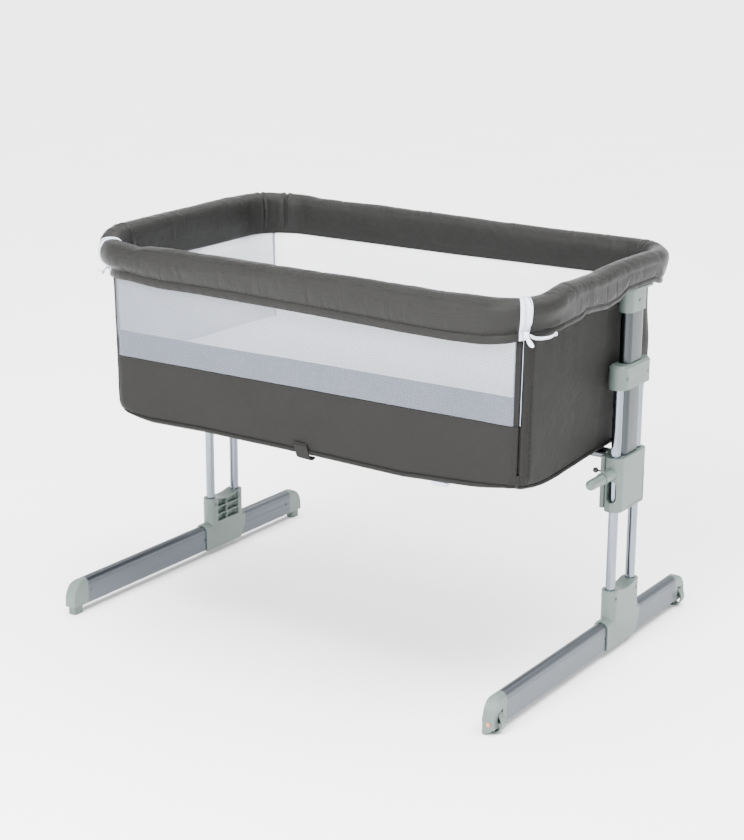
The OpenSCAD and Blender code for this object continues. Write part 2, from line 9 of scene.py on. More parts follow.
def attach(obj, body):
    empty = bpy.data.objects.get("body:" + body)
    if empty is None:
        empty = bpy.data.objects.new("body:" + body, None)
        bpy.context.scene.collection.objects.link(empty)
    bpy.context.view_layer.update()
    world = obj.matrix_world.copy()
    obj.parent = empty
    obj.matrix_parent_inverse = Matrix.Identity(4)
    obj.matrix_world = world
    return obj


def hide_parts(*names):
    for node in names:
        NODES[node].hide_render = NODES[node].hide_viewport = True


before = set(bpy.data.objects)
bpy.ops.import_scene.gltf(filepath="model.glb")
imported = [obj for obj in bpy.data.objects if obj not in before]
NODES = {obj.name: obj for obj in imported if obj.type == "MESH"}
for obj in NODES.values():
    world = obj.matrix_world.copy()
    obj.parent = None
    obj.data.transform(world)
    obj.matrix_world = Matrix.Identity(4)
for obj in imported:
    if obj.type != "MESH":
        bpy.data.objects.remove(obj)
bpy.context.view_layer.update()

MM = 0.001

# ------------------------------------------------------------------ helpers


def _hash(i, j, k, seed):
    h = (i * 374761393 + j * 668265263 + k * 362437 + seed * 1442695) & 0xFFFFFFFF
    h = ((h ^ (h >> 13)) * 1274126177) & 0xFFFFFFFF
    return ((h ^ (h >> 16)) & 0xFFFFFF) / float(0xFFFFFF) * 2 - 1


def noise3(p, seed=0):
    """Smooth value noise from -1 to 1 at points p (n, 3)."""
    p = np.asarray(p, float)
    i = np.floor(p).astype(np.int64)
    f = p - i
    w = f * f * f * (f * (f * 6 - 15) + 10)
    out = np.zeros(p.shape[:-1])
    for dx in (0, 1):
        for dy in (0, 1):
            for dz in (0, 1):
                wt = (
                    (w[..., 0] if dx else 1 - w[..., 0])
                    * (w[..., 1] if dy else 1 - w[..., 1])
                    * (w[..., 2] if dz else 1 - w[..., 2])
                )
                out += wt * _hash(i[..., 0] + dx, i[..., 1] + dy, i[..., 2] + dz, seed)
    return out


def fbm(p, seed=0, octaves=3):
    p = np.asarray(p, float)
    return sum(noise3(p * 2**o + 17.3 * o, seed + o) / 2**o for o in range(octaves))


def stack(*a):
    return np.stack(np.broadcast_arrays(*[np.asarray(x, float) for x in a]), -1)


def smooth(x, a, b):
    t = np.clip((np.asarray(x, float) - a) / (b - a), 0, 1)
    return t * t * (3 - 2 * t)


def bump(x, c, w):
    return np.exp(-(((np.asarray(x, float) - c) / w) ** 2))


def piece(name, verts, faces, mat, body, recalc=True, flat=False):
    """A mesh piece from points in millimetres."""
    me = bpy.data.meshes.new(name)
    me.from_pydata((np.asarray(verts, float) * MM).tolist(), [], [tuple(int(i) for i in f) for f in faces])
    me.validate()
    if recalc:
        bm = bmesh.new()
        bm.from_mesh(me)
        bmesh.ops.recalc_face_normals(bm, faces=bm.faces)
        bm.to_mesh(me)
        bm.free()
    if not flat:
        me.polygons.foreach_set("use_smooth", [True] * len(me.polygons))
    me.materials.append(mat)
    o = bpy.data.objects.new(name, me)
    bpy.context.scene.collection.objects.link(o)
    if body:
        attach(o, body)
    return o


def grid(n, m, close_n=False, close_m=False, start=0):
    i = np.arange(n if close_n else n - 1)
    j = np.arange(m if close_m else m - 1)
    a, b = np.meshgrid(i, j, indexing="ij")
    a2, b2 = (a + 1) % n, (b + 1) % m
    return (np.stack([a * m + b, a2 * m + b, a2 * m + b2, a * m + b2], -1).reshape(-1, 4) + start).tolist()


def tube_faces(n, m, start=0, cap=True):
    """Faces of n rings of m points, closed round, capped at both ends."""
    f = grid(n, m, close_m=True, start=start)
    if cap:
        f.append([start + k for k in range(m)][::-1])
        f.append([start + (n - 1) * m + k for k in range(m)])
    return f


def grid_normals(v, close_m=False, close_n=False):
    """Normals of a grid of points (n, m, 3)."""
    if close_n:
        du = np.roll(v, -1, 0) - np.roll(v, 1, 0)
    else:
        du = np.gradient(v, axis=0)
    if close_m:
        dv = np.roll(v, -1, 1) - np.roll(v, 1, 1)
    else:
        dv = np.gradient(v, axis=1)
    n = np.cross(du, dv)
    return n / np.maximum(np.linalg.norm(n, axis=-1, keepdims=True), 1e-9)


def spline(ctrl, sub=4, closed=True):
    """Catmull-Rom through control points (..., n, 2 or 3), sub points a span."""
    c = np.asarray(ctrl, float)
    n = c.shape[-2]
    out = []
    spans = n if closed else n - 1
    for k in range(spans):
        if closed:
            p0, p1, p2, p3 = (c[..., (k + d) % n, :] for d in (-1, 0, 1, 2))
        else:
            p0, p1, p2, p3 = (c[..., min(max(k + d, 0), n - 1), :] for d in (-1, 0, 1, 2))
        for t in np.arange(sub) / sub:
            out.append(0.5 * (2 * p1 + (p2 - p0) * t + (2 * p0 - 5 * p1 + 4 * p2 - p3) * t**2 + (3 * p1 - p0 - 3 * p2 + p3) * t**3))
    if not closed:
        out.append(c[..., -1, :])
    return np.stack(out, -2)


def sweep_line(name, path, section, mat, body, up=(0, 0, 1), closed=False, twist=None):
    """A section (m, 2) of side and up offsets carried along a path (n, 3), mm."""
    path = np.asarray(path, float)
    t = np.gradient(path, axis=0)
    t /= np.linalg.norm(t, axis=1, keepdims=True)
    upv = np.broadcast_to(np.asarray(up, float), path.shape)
    side = np.cross(t, upv)
    side /= np.linalg.norm(side, axis=1, keepdims=True)
    u2 = np.cross(side, t)
    sec = np.asarray(section, float)
    if sec.ndim == 2:
        sec = np.broadcast_to(sec, (len(path),) + sec.shape)
    v = path[:, None] + side[:, None] * sec[..., :1] + u2[:, None] * sec[..., 1:2]
    n, m = v.shape[:2]
    return piece(name, v.reshape(-1, 3), tube_faces(n, m) if not closed else grid(n, m, True, True), mat, body)


def ring(r, n=12, rx=None):
    a = np.arange(n) * 2 * math.pi / n
    return np.stack([(rx or r) * np.cos(a), r * np.sin(a)], -1)


# ------------------------------------------------------------------ materials


class Mat:
    def __init__(self, name):
        self.m = bpy.data.materials.new(name)
        self.m.use_nodes = True
        self.t = self.m.node_tree
        self.t.nodes.clear()
        self.out = self.n("ShaderNodeOutputMaterial")
        self.b = self.n("ShaderNodeBsdfPrincipled")
        self.l(self.b.outputs["BSDF"], self.out.inputs["Surface"])
        self.tc = self.n("ShaderNodeTexCoord")

    def n(self, kind, **props):
        node = self.t.nodes.new(kind)
        for k, v in props.items():
            setattr(node, k, v)
        return node

    def l(self, a, b):
        self.t.links.new(a, b)

    def set(self, **kw):
        for k, v in kw.items():
            s = self.b.inputs[k.replace("_", " ")]
            s.default_value = v if not (isinstance(v, tuple) and len(v) == 3) else (*v, 1.0)
        return self

    def noise(self, scale, detail=2.0, rough=0.5, stretch=None, distortion=0.0):
        t = self.n("ShaderNodeTexNoise")
        t.inputs["Scale"].default_value = scale
        t.inputs["Detail"].default_value = detail
        t.inputs["Roughness"].default_value = rough
        t.inputs["Distortion"].default_value = distortion
        self.l(self.pos(stretch), t.inputs["Vector"])
        return t.outputs["Fac"]

    def pos(self, stretch=None):
        if stretch is None:
            return self.tc.outputs["Object"]
        mp = self.n("ShaderNodeMapping")
        mp.inputs["Scale"].default_value = stretch
        self.l(self.tc.outputs["Object"], mp.inputs["Vector"])
        return mp.outputs["Vector"]

    def math(self, op, a, b=None, c=None, clamp=False):
        t = self.n("ShaderNodeMath", operation=op, use_clamp=clamp)
        for i, x in enumerate((a, b, c)):
            if x is None:
                continue
            if isinstance(x, (int, float)):
                t.inputs[i].default_value = x
            else:
                self.l(x, t.inputs[i])
        return t.outputs[0]

    def ramp(self, fac, lo, hi, c0, c1, c_mid=None):
        r = self.n("ShaderNodeValToRGB")
        e = r.color_ramp.elements
        e[0].position, e[0].color = lo, (*c0, 1)
        e[1].position, e[1].color = hi, (*c1, 1)
        if c_mid:
            x = e.new((lo + hi) / 2)
            x.color = (*c_mid, 1)
        self.l(fac, r.inputs["Fac"])
        return r.outputs["Color"]

    def fmap(self, fac, a, b, c, d):
        r = self.n("ShaderNodeMapRange")
        r.inputs["From Min"].default_value = a
        r.inputs["From Max"].default_value = b
        r.inputs["To Min"].default_value = c
        r.inputs["To Max"].default_value = d
        self.l(fac, r.inputs["Value"])
        return r.outputs["Result"]

    def mixc(self, fac, a, b, mode="MIX"):
        x = self.n("ShaderNodeMix", data_type="RGBA", blend_type=mode)
        for s, val in ((x.inputs[0], fac), (x.inputs[6], a), (x.inputs[7], b)):
            if isinstance(val, (int, float)):
                s.default_value = val
            elif isinstance(val, tuple):
                s.default_value = (*val, 1) if len(val) == 3 else val
            else:
                self.l(val, s)
        return x.outputs[2]

    def bump(self, height, dist, strength=1.0, normal=None):
        b = self.n("ShaderNodeBump")
        b.inputs["Distance"].default_value = dist
        b.inputs["Strength"].default_value = strength
        self.l(height, b.inputs["Height"])
        if normal is not None:
            self.l(normal, b.inputs["Normal"])
        return b.outputs["Normal"]

    def weave(self, period, twill=0.0):
        """A woven lattice in the object's own space, the same on any plane."""
        k = 2 * math.pi / period
        sep = self.n("ShaderNodeSeparateXYZ")
        self.l(self.tc.outputs["Object"], sep.inputs[0])
        s = []
        for ax in range(3):
            s.append(self.math("SINE", self.math("MULTIPLY", sep.outputs[ax], k)))
        a = self.math("MULTIPLY", s[0], s[2])
        b = self.math("MULTIPLY", s[1], s[2])
        c = self.math("MULTIPLY", s[0], s[1])
        return self.math("ADD", self.math("ADD", a, b), c)

    def normal(self, n):
        self.l(n, self.b.inputs["Normal"])

    def color(self, c):
        self.l(c, self.b.inputs["Base Color"])

    def rough(self, r):
        self.l(r, self.b.inputs["Roughness"])


def lin(h):
    h = h.lstrip("#")
    c = [int(h[i : i + 2], 16) / 255 for i in (0, 2, 4)]
    return tuple(x / 12.92 if x <= 0.04045 else ((x + 0.055) / 1.055) ** 2.4 for x in c)


def scaled(c, k):
    return tuple(min(1.0, x * k) for x in c)


def cloth_mat(name, colour, rough=0.55, sheen=0.25, weave=0.0013, weave_d=0.00006, vary=0.06, wrinkle=0.0006, spec=0.35):
    m = Mat(name)
    big = m.noise(7, 3, 0.55)
    fine = m.noise(260, 2, 0.6)
    c = m.ramp(big, 0.3, 0.7, scaled(colour, 1 - vary), scaled(colour, 1 + vary))
    thread = m.weave(weave)
    c = m.mixc(m.fmap(thread, -1, 1, 0.0, 0.16), c, scaled(colour, 0.72))
    c = m.mixc(m.fmap(fine, 0.35, 0.65, 0.0, 0.10), c, scaled(colour, 1.35))
    m.color(c)
    m.set(Roughness=rough, Sheen_Weight=sheen, Sheen_Roughness=0.45, Specular_IOR_Level=spec)
    m.rough(m.fmap(big, 0.3, 0.7, rough - 0.05, rough + 0.05))
    h = m.bump(thread, weave_d)
    h = m.bump(fine, 0.00008, normal=h)
    soft = m.noise(16, 3, 0.55, distortion=0.6)
    m.normal(m.bump(soft, wrinkle, normal=h))
    return m


DARK = (0.0150, 0.0148, 0.0141)
M = {}
M["shell"] = cloth_mat("shell_cloth", DARK, rough=0.46, sheen=0.0, wrinkle=0.0012, spec=0.035)
# the rim cloth is the shell cloth at 0.9 of its tone: painted shade that offsets the stronger light falling on the rim
M["rim"] = cloth_mat("rim_cloth_painted_shade", scaled(DARK, 0.90), rough=0.34, sheen=0.0, wrinkle=0.0012, spec=0.09)
M["hem"] = cloth_mat("hem_cloth", scaled(DARK, 0.9), rough=0.6, sheen=0.0, spec=0.04, weave=0.0011, wrinkle=0.0004)
M["webbing"] = cloth_mat("webbing", scaled(DARK, 1.1), rough=0.6, sheen=0.0, spec=0.05, weave=0.0022, weave_d=0.00018, wrinkle=0.0002)
M["lining"] = cloth_mat("white_lining", (0.88, 0.885, 0.895), rough=0.8, sheen=0.3, weave=0.0012, vary=0.015, wrinkle=0.0012)
M["lining_grey"] = cloth_mat("lining_seam", (0.20, 0.205, 0.23), rough=0.8, sheen=0.3, weave=0.0012, vary=0.02, wrinkle=0.0006)
# the mattress cover is grey rather than white: painted shade of the rims' shadow over the mattress
M["mattress"] = cloth_mat("mattress_cover", (0.60, 0.615, 0.655), rough=0.85, sheen=0.35, weave=0.0018, weave_d=0.00012, vary=0.02, wrinkle=0.0014)
M["barrier"] = cloth_mat("barrier_cloth", (0.030, 0.033, 0.041), rough=0.85, sheen=0.3, weave=0.0016, vary=0.02, wrinkle=0.0008)
M["tape"] = cloth_mat("zip_tape", (0.60, 0.63, 0.72), rough=0.7, sheen=0.3, weave=0.0010, vary=0.01, wrinkle=0.0002)
# stitch thread far darker than the cloth: real stitches, darkened as painted shade so the stitch rows read as dark
# grooves
M["stitch"] = cloth_mat("dark_stitch_thread_painted_shade", scaled(DARK, 0.35), rough=0.7, sheen=0.0, spec=0.08, weave=0.0006, wrinkle=0.0)
M["stitch_white"] = cloth_mat("white_thread", (0.62, 0.64, 0.68), rough=0.7, sheen=0.2, weave=0.0006, wrinkle=0.0)


def mesh_mat():
    """Fine knitted mesh: a lattice of round holes cut with alpha."""
    m = Mat("window_mesh")
    m.set(Roughness=0.65, Specular_IOR_Level=0.25)
    sep = m.n("ShaderNodeSeparateXYZ")
    m.l(m.tc.outputs["Object"], sep.inputs[0])
    p = 0.0031
    kx, kz = 2 * math.pi / p, 2 * math.pi / (p * 1.732)
    x = m.math("ADD", sep.outputs[0], m.math("MULTIPLY", sep.outputs[1], 1.0))
    a = m.math("COSINE", m.math("MULTIPLY", x, kx))
    b = m.math("COSINE", m.math("MULTIPLY", sep.outputs[2], kz))
    # holes of a hexagonal lattice lie where cos(x) * cos(z) is high
    prod = m.math("MULTIPLY", a, b)
    hole = m.fmap(prod, 0.05, 0.40, 0.0, 1.0)
    alpha = m.fmap(hole, 0.0, 1.0, 0.84, 0.22)
    m.l(alpha, m.b.inputs["Alpha"])
    tone = m.noise(9, 2, 0.5)
    m.color(m.ramp(tone, 0.3, 0.7, (0.128, 0.142, 0.172), (0.142, 0.156, 0.188)))
    m.normal(m.bump(prod, 0.0003))
    return m


M["mesh"] = mesh_mat()


def plastic_mat(name, colour, rough=0.42, grain=0.00003, vary=0.03):
    m = Mat(name)
    big = m.noise(18, 2, 0.5)
    fine = m.noise(2600, 2, 0.6)
    mid = m.noise(300, 3, 0.6)
    c = m.ramp(big, 0.3, 0.7, scaled(colour, 1 - vary), scaled(colour, 1 + vary))
    c = m.mixc(m.fmap(mid, 0.55, 0.8, 0.0, 0.18), c, scaled(colour, 1.12))
    m.color(c)
    m.set(Roughness=rough, Specular_IOR_Level=0.45)
    m.rough(m.fmap(mid, 0.3, 0.7, rough - 0.06, rough + 0.07))
    h = m.bump(fine, grain)
    m.normal(m.bump(big, 0.00025, normal=h))
    return m


GREY = (0.080, 0.106, 0.096)
M["plastic"] = plastic_mat("moulded_plastic", GREY)
M["plastic_in"] = plastic_mat("moulded_plastic_inner", scaled(GREY, 0.8), rough=0.5)
M["black"] = plastic_mat("black_plastic", (0.012, 0.012, 0.013), rough=0.35)
M["clip"] = plastic_mat("pale_clip_plastic", (0.50, 0.53, 0.66), rough=0.35)


def metal_mat(name, colour, rough=0.3, along="y", metallic=1.0, grain=0.00001, vary=0.04, mottle=0.0):
    m = Mat(name)
    long_, short = 6.0, 900.0
    st = {"x": (long_, short, short), "y": (short, long_, short), "z": (short, short, long_)}[along]
    streak = m.noise(1.0, 3, 0.6, stretch=st)
    big = m.noise(9, 3, 0.5)
    c = m.ramp(big, 0.3, 0.7, scaled(colour, 1 - vary), scaled(colour, 1 + vary))
    if mottle:
        spots = m.noise(1.0, 3, 0.6, stretch=tuple(90.0 if s == short else 14.0 for s in st))
        c = m.mixc(m.fmap(spots, 0.5, 0.72, 0.0, mottle), c, scaled(colour, 0.66))
    m.color(c)
    m.set(Metallic=metallic, Roughness=rough)
    m.rough(m.fmap(streak, 0.25, 0.75, rough - 0.03, rough + 0.05))
    m.normal(m.bump(streak, grain))
    return m


M["bar"] = metal_mat("anodised_bar", (0.086, 0.095, 0.108), rough=0.38, along="y")
M["beam"] = metal_mat("anodised_beam", (0.11, 0.12, 0.132), rough=0.34, along="x")
M["post"] = metal_mat("anodised_post", (0.043, 0.049, 0.052), rough=0.27, along="z")
M["zinc"] = metal_mat("zinc_tube", (0.180, 0.200, 0.236), rough=0.2, along="z", mottle=0.4, grain=0.00003)
M["frame"] = metal_mat("coated_tube", (0.62, 0.63, 0.66), rough=0.35, along="x")
M["screw"] = metal_mat("zinc_screw", (0.13, 0.14, 0.15), rough=0.3, along="x")
M["steel"] = metal_mat("turned_steel", (0.66, 0.67, 0.69), rough=0.28, along="y")
M["axle"] = metal_mat("copper_axle", lin("#c97f55"), rough=0.4, along="y", metallic=0.8)
M["deck"] = plastic_mat("deck_paint", (0.27, 0.28, 0.29), rough=0.4)


def wood_mat():
    m = Mat("fibreboard")
    g = m.noise(1.0, 4, 0.65, stretch=(8, 120, 120))
    f = m.noise(500, 3, 0.6)
    c = m.ramp(g, 0.3, 0.7, (0.42, 0.31, 0.20), (0.55, 0.43, 0.29))
    m.color(m.mixc(m.fmap(f, 0.4, 0.7, 0, 0.3), c, (0.35, 0.25, 0.16)))
    m.set(Roughness=0.7)
    m.normal(m.bump(f, 0.0001))
    return m


M["board"] = wood_mat()

# the end walls' lining is the white lining made lavender grey: painted shade for walls turned away from the key light
M["lining_end"] = cloth_mat("end_lining_painted_shade", (0.60, 0.615, 0.655), rough=0.8, sheen=0.3, weave=0.0012, vary=0.02, wrinkle=0.0010)


def coil_mat():
    m = Mat("zip_coil")
    f = m.noise(900, 2, 0.5)
    m.color(m.ramp(f, 0.3, 0.7, (0.30, 0.36, 0.46), (0.40, 0.46, 0.56)))
    m.set(Roughness=0.4)
    m.normal(m.bump(f, 0.00005))
    return m


M["coil"] = coil_mat()
M["coil_white"] = cloth_mat("zip_teeth", (0.44, 0.47, 0.54), rough=0.6, sheen=0.1, weave=0.0008, vary=0.01, wrinkle=0.0)
M["zip_white"] = plastic_mat("white_zip_metal", (0.74, 0.77, 0.83), rough=0.3)

# ------------------------------------------------------------------ camera, light, floor


def make_camera():
    az, el, roll = math.radians(33.92), math.radians(15.92), math.radians(0.31)
    back = Vector((math.sin(az) * math.cos(el), -math.cos(az) * math.cos(el), math.sin(el)))
    fwd = -back
    right = fwd.cross(Vector((0, 0, 1))).normalized()
    up = right.cross(fwd)
    c, s = math.cos(roll), math.sin(roll)
    r2, u2 = right * c + up * s, up * c - right * s
    cam = bpy.data.cameras.new("camera")
    cam.sensor_fit = "AUTO"
    cam.sensor_width = 36
    cam.lens = 1834.24 / 840 * 36
    cam.clip_start, cam.clip_end = 0.05, 60
    o = bpy.data.objects.new("camera", cam)
    m = Matrix((r2, u2, back)).transposed().to_4x4()
    m.translation = (1.74976, -2.62386, 1.2593)
    o.matrix_world = m
    bpy.context.scene.collection.objects.link(o)
    bpy.context.scene.camera = o


def area(name, loc, target, size, power, colour=(1, 1, 1)):
    d = bpy.data.lights.new(name, "AREA")
    d.shape, d.size, d.energy, d.color = "SQUARE", size, power, colour
    o = bpy.data.objects.new(name, d)
    o.location = loc
    o.rotation_euler = (Vector(target) - Vector(loc)).to_track_quat("-Z", "Y").to_euler()
    bpy.context.scene.collection.objects.link(o)


def make_stage():
    me = bpy.data.meshes.new("floor")
    s = 24.0
    me.from_pydata([(-s, -s, 0), (s, -s, 0), (s, s, 0), (-s, s, 0)], [], [(0, 1, 2, 3)])
    m = Mat("floor_paint")
    m.color(m.ramp(m.noise(2, 2), 0.3, 0.7, (0.93, 0.93, 0.93), (0.95, 0.95, 0.95)))
    m.set(Roughness=0.9, Specular_IOR_Level=0.1)
    me.materials.append(m.m)
    o = bpy.data.objects.new("floor", me)
    o.location = (0, 0, -0.0005)
    bpy.context.scene.collection.objects.link(o)
    w = bpy.data.worlds.new("studio")
    bpy.context.scene.world = w
    w.use_nodes = True
    t = w.node_tree
    t.nodes.clear()
    out = t.nodes.new("ShaderNodeOutputWorld")
    bg = t.nodes.new("ShaderNodeBackground")
    tc = t.nodes.new("ShaderNodeTexCoord")
    sep = t.nodes.new("ShaderNodeSeparateXYZ")
    ramp = t.nodes.new("ShaderNodeValToRGB")
    e = ramp.color_ramp.elements
    e[0].position, e[0].color = 0.0, (0.60, 0.60, 0.60, 1)
    e[1].position, e[1].color = 1.0, (0.28, 0.28, 0.28, 1)
    for pos, v in ((0.44, 0.85), (0.50, 1.0), (0.56, 0.85), (0.645, 0.75), (0.68, 0.28)):
        x = e.new(pos)
        x.color = (v, v, v * 1.01, 1)
    mr = t.nodes.new("ShaderNodeMapRange")
    mr.inputs["From Min"].default_value = -1
    mr.inputs["From Max"].default_value = 1
    t.links.new(tc.outputs["Generated"], sep.inputs[0])
    t.links.new(sep.outputs[2], mr.inputs["Value"])
    t.links.new(mr.outputs["Result"], ramp.inputs["Fac"])
    t.links.new(ramp.outputs["Color"], bg.inputs["Color"])
    bg.inputs["Strength"].default_value = 3.2
    t.links.new(bg.outputs[0], out.inputs[0])
    area("key", (0.0, -3.2, 2.5), (0, 0, 0.45), 2.0, 430)
    d = bpy.data.lights.new("sky_panel", "SUN")
    d.energy, d.angle = 8.6, 1.1
    o = bpy.data.objects.new("sky_panel", d)
    o.rotation_euler = (Vector((0, 0, 0)) - Vector((0.35, 0.7, 3.2))).to_track_quat("-Z", "Y").to_euler()
    bpy.context.scene.collection.objects.link(o)
    d = bpy.data.lights.new("soft_right", "SUN")
    d.energy, d.angle = 2.0, 0.9
    o = bpy.data.objects.new("soft_right", d)
    o.rotation_euler = (Vector((0, 0, 0)) - Vector((0.8, -1.5, 3.2))).to_track_quat("-Z", "Y").to_euler()
    bpy.context.scene.collection.objects.link(o)
    area("strip", (2.75, -1.75, 1.0), (0.3, 0.0, 0.4), 0.5, 9)
    bpy.data.lights["strip"].shape = "RECTANGLE"
    bpy.data.lights["strip"].size_y = 1.5


make_camera()
make_stage()

# ------------------------------------------------------------------ carried-over CAD pieces


def dress(node, mat, bevel=0.6, angle=32, segments=2):
    o = NODES[node]
    me = o.data
    me.materials.clear()
    me.materials.append(mat.m if isinstance(mat, Mat) else mat)
    for p in me.polygons:
        p.material_index = 0
    me.polygons.foreach_set("use_smooth", [True] * len(me.polygons))
    a = me.attributes.get("custom_normal")
    if a:
        me.attributes.remove(a)
    w = o.modifiers.new("weld", "WELD")
    w.merge_threshold = 1e-5
    if bevel:
        b = o.modifiers.new("edge", "BEVEL")
        b.width = bevel * MM
        b.segments = segments
        b.limit_method = "ANGLE"
        b.angle_limit = math.radians(angle)
        b.harden_normals = True
        b.use_clamp_overlap = True
    return o


for side_ in ("left", "right"):
    dress("foot_bar_" + side_, M["bar"], 0.3)
    dress("saddle_" + side_, M["plastic"], 0.8)
    dress("collar_" + side_, M["plastic"], 0.9)
    dress("tube_front_" + side_, M["zinc"], 0.2)
    dress("tube_rear_" + side_, M["zinc"], 0.2)
    dress("post_" + side_, M["post"], 0.2)
    dress("bracket_" + side_, M["plastic"], 0.9)
    dress("housing_outer_" + side_, M["plastic"], 0.7)
    dress("housing_inner_" + side_, M["plastic_in"], 0.7)
    dress("side_tube_" + side_, M["frame"], 0)
    dress("release_knob_" + side_, M["plastic"], 0.4)
    dress("lock_plunger_" + side_, M["steel"], 0.2)
    dress("plunger_spring_" + side_, M["steel"], 0)
for n_ in ("end_cap_front_left", "end_cap_rear_left", "end_cap_front_right", "end_cap_rear_right"):
    dress(n_, M["plastic"], 0.9)
dress("foot_pads", M["plastic_in"], 0.8)
dress("wheel_front", M["plastic"], 0.5)
dress("wheel_rear", M["plastic"], 0.5)
dress("wheel_axles", M["axle"], 0.3)
dress("cross_beam", M["beam"], 0.2)
dress("beam_knobs", M["black"], 0.4)
dress("back_tube", M["frame"], 0)
dress("corner_sockets", M["plastic_in"], 0.4)
dress("deck_frame", M["deck"], 0)
dress("mattress_board", M["board"], 0.8)
dress("front_rail", M["frame"], 0)

# ------------------------------------------------------------------ shared shapes


def slab(name, v, thick, mat, body, mats=None, inward=None):
    """A cloth of the given thickness behind a grid of points (n, m, 3)."""
    v = np.asarray(v, float)
    n, m = v.shape[:2]
    nr = grid_normals(v)
    if inward is not None:
        flip = np.sign(((v - np.asarray(inward)) * nr).sum(-1).sum())
        nr = nr * (flip if flip else 1)
    w = v - nr * thick
    k = n * m
    f = grid(n, m) + [q[::-1] for q in grid(n, m, start=k)]
    for i in range(n - 1):
        f.append((i * m, k + i * m, k + (i + 1) * m, (i + 1) * m))
        f.append((i * m + m - 1, (i + 1) * m + m - 1, k + (i + 1) * m + m - 1, k + i * m + m - 1))
    for j in range(m - 1):
        f.append((j, j + 1, k + j + 1, k + j))
        a = (n - 1) * m
        f.append((a + j, k + a + j, k + a + j + 1, a + j + 1))
    o = piece(name, np.concatenate([v.reshape(-1, 3), w.reshape(-1, 3)]), f, mat, body)
    if mats:
        for x in mats[1:]:
            o.data.materials.append(x)
    return o


SEG = [54.5, 342.0, 157.08, 680.0, 157.08, 342.0, 54.5]
CUM = np.concatenate([[0.0], np.cumsum(SEG)])
RIM_L = CUM[-1]


def rim_frame(s):
    """Point on the top tube's axis and the outward direction, at path length s."""
    s = np.asarray(s, float)
    k = np.clip(np.searchsorted(CUM, s, side="right") - 1, 0, 6)
    t = s - CUM[k]
    x, y, nx, ny = (np.zeros_like(s) for _ in range(4))
    for seg, (cx, cy, R, a0) in {0: (370, -174, 70, -44.6), 2: (340, 168, 100, 0), 4: (-340, 168, 100, 90), 6: (-370, -174, 70, 180)}.items():
        q = k == seg
        a = math.radians(a0) + t[q] / R
        x[q], y[q], nx[q], ny[q] = cx + R * np.cos(a), cy + R * np.sin(a), np.cos(a), np.sin(a)
    q = k == 1
    x[q], y[q], nx[q] = 440, -174 + t[q], 1
    q = k == 3
    x[q], y[q], ny[q] = 340 - t[q], 268, 1
    q = k == 5
    x[q], y[q], nx[q] = -440, 168 - t[q], -1
    return x, y, nx, ny


def front_frame(s):
    """The same along the drop-side rail, from the left joint to the right one."""
    s = np.asarray(s, float)
    a = 54.6
    x, y, nx, ny = (np.zeros_like(s) for _ in range(4))
    q = s < a
    g = np.radians(-90) - (a - s[q]) / 70
    x[q], y[q], nx[q], ny[q] = -370 + 70 * np.cos(g), -174 + 70 * np.sin(g), np.cos(g), np.sin(g)
    q = (s >= a) & (s <= a + 740)
    x[q], y[q], ny[q] = s[q] - a - 370, -244, -1
    q = s > a + 740
    g = np.radians(-90) + (s[q] - a - 740) / 70
    x[q], y[q], nx[q], ny[q] = 370 + 70 * np.cos(g), -174 + 70 * np.sin(g), np.cos(g), np.sin(g)
    return x, y, nx, ny


FRONT_L = 54.6 * 2 + 740


def place(fr, sec, z0=660.0):
    x, y, nx, ny = fr
    u, v = sec[..., 0], sec[..., 1]
    return np.stack([x[:, None] + nx[:, None] * u, y[:, None] + ny[:, None] * u, z0 + v], -1)


HC = np.array([(0, 14.5), (28, 17), (54, 22), (88, 26.5), (137, 26.5), (188, 27), (235, 30), (280, 32), (325, 32.5), (372, 32), (396, 31), (475, 28), (553, 27.5), (607, 28.5), (667, 28.2), (790, 30.2), (919, 32.4), (1053, 34.5), (1157, 35), (1214, 36), (1250, 38.5), (1312, 41), (1391, 42), (1481, 42), (1559, 41), (1612, 39.5), (1654, 38), (1715, 35.5), (1736, 34), (1758, 30), (1778, 24), (1787.2, 18)])
UM = np.array([(0, 23.5), (60, 21), (130, 18.5), (420, 17.5), (470, 16.5), (560, 17), (1200, 17), (1320, 17), (1650, 18), (1730, 20), (1787.2, 23.5)])
UB = np.array([(0, 6.6), (26, 9.0), (62, 14.0), (100, 16.6), (118, 17.2), (250, 17), (395, 16), (430, 9), (475, 7), (520, 9), (600, 11), (1200, 11), (1312, 9), (1400, 14), (1440, 17), (1580, 17), (1650, 16.5), (1700, 14.5), (1735, 10.0), (1762, 6.5), (1787.2, 5.2)])
VB = np.array([(0, -49), (40, -43), (62, -39.5), (108, -35), (117, -33.5), (124, -29), (160, -31), (200, -34), (245, -29), (270, -19), (372, -18.6), (392, -24), (430, -30), (475, -31), (560, -31), (1240, -31), (1330, -31), (1396, -24), (1418, -18.6), (1520, -18.6), (1548, -27), (1600, -33), (1670, -33), (1740, -39), (1787.2, -49)])
VF = np.array([(0, -33), (60, -34), (200, -36), (395, -35), (475, -34), (560, -35), (900, -36.5), (1240, -35), (1330, -34), (1500, -36), (1720, -35), (1787.2, -33)])


def lut(tab, s):
    return np.interp(s, tab[:, 0], tab[:, 1])


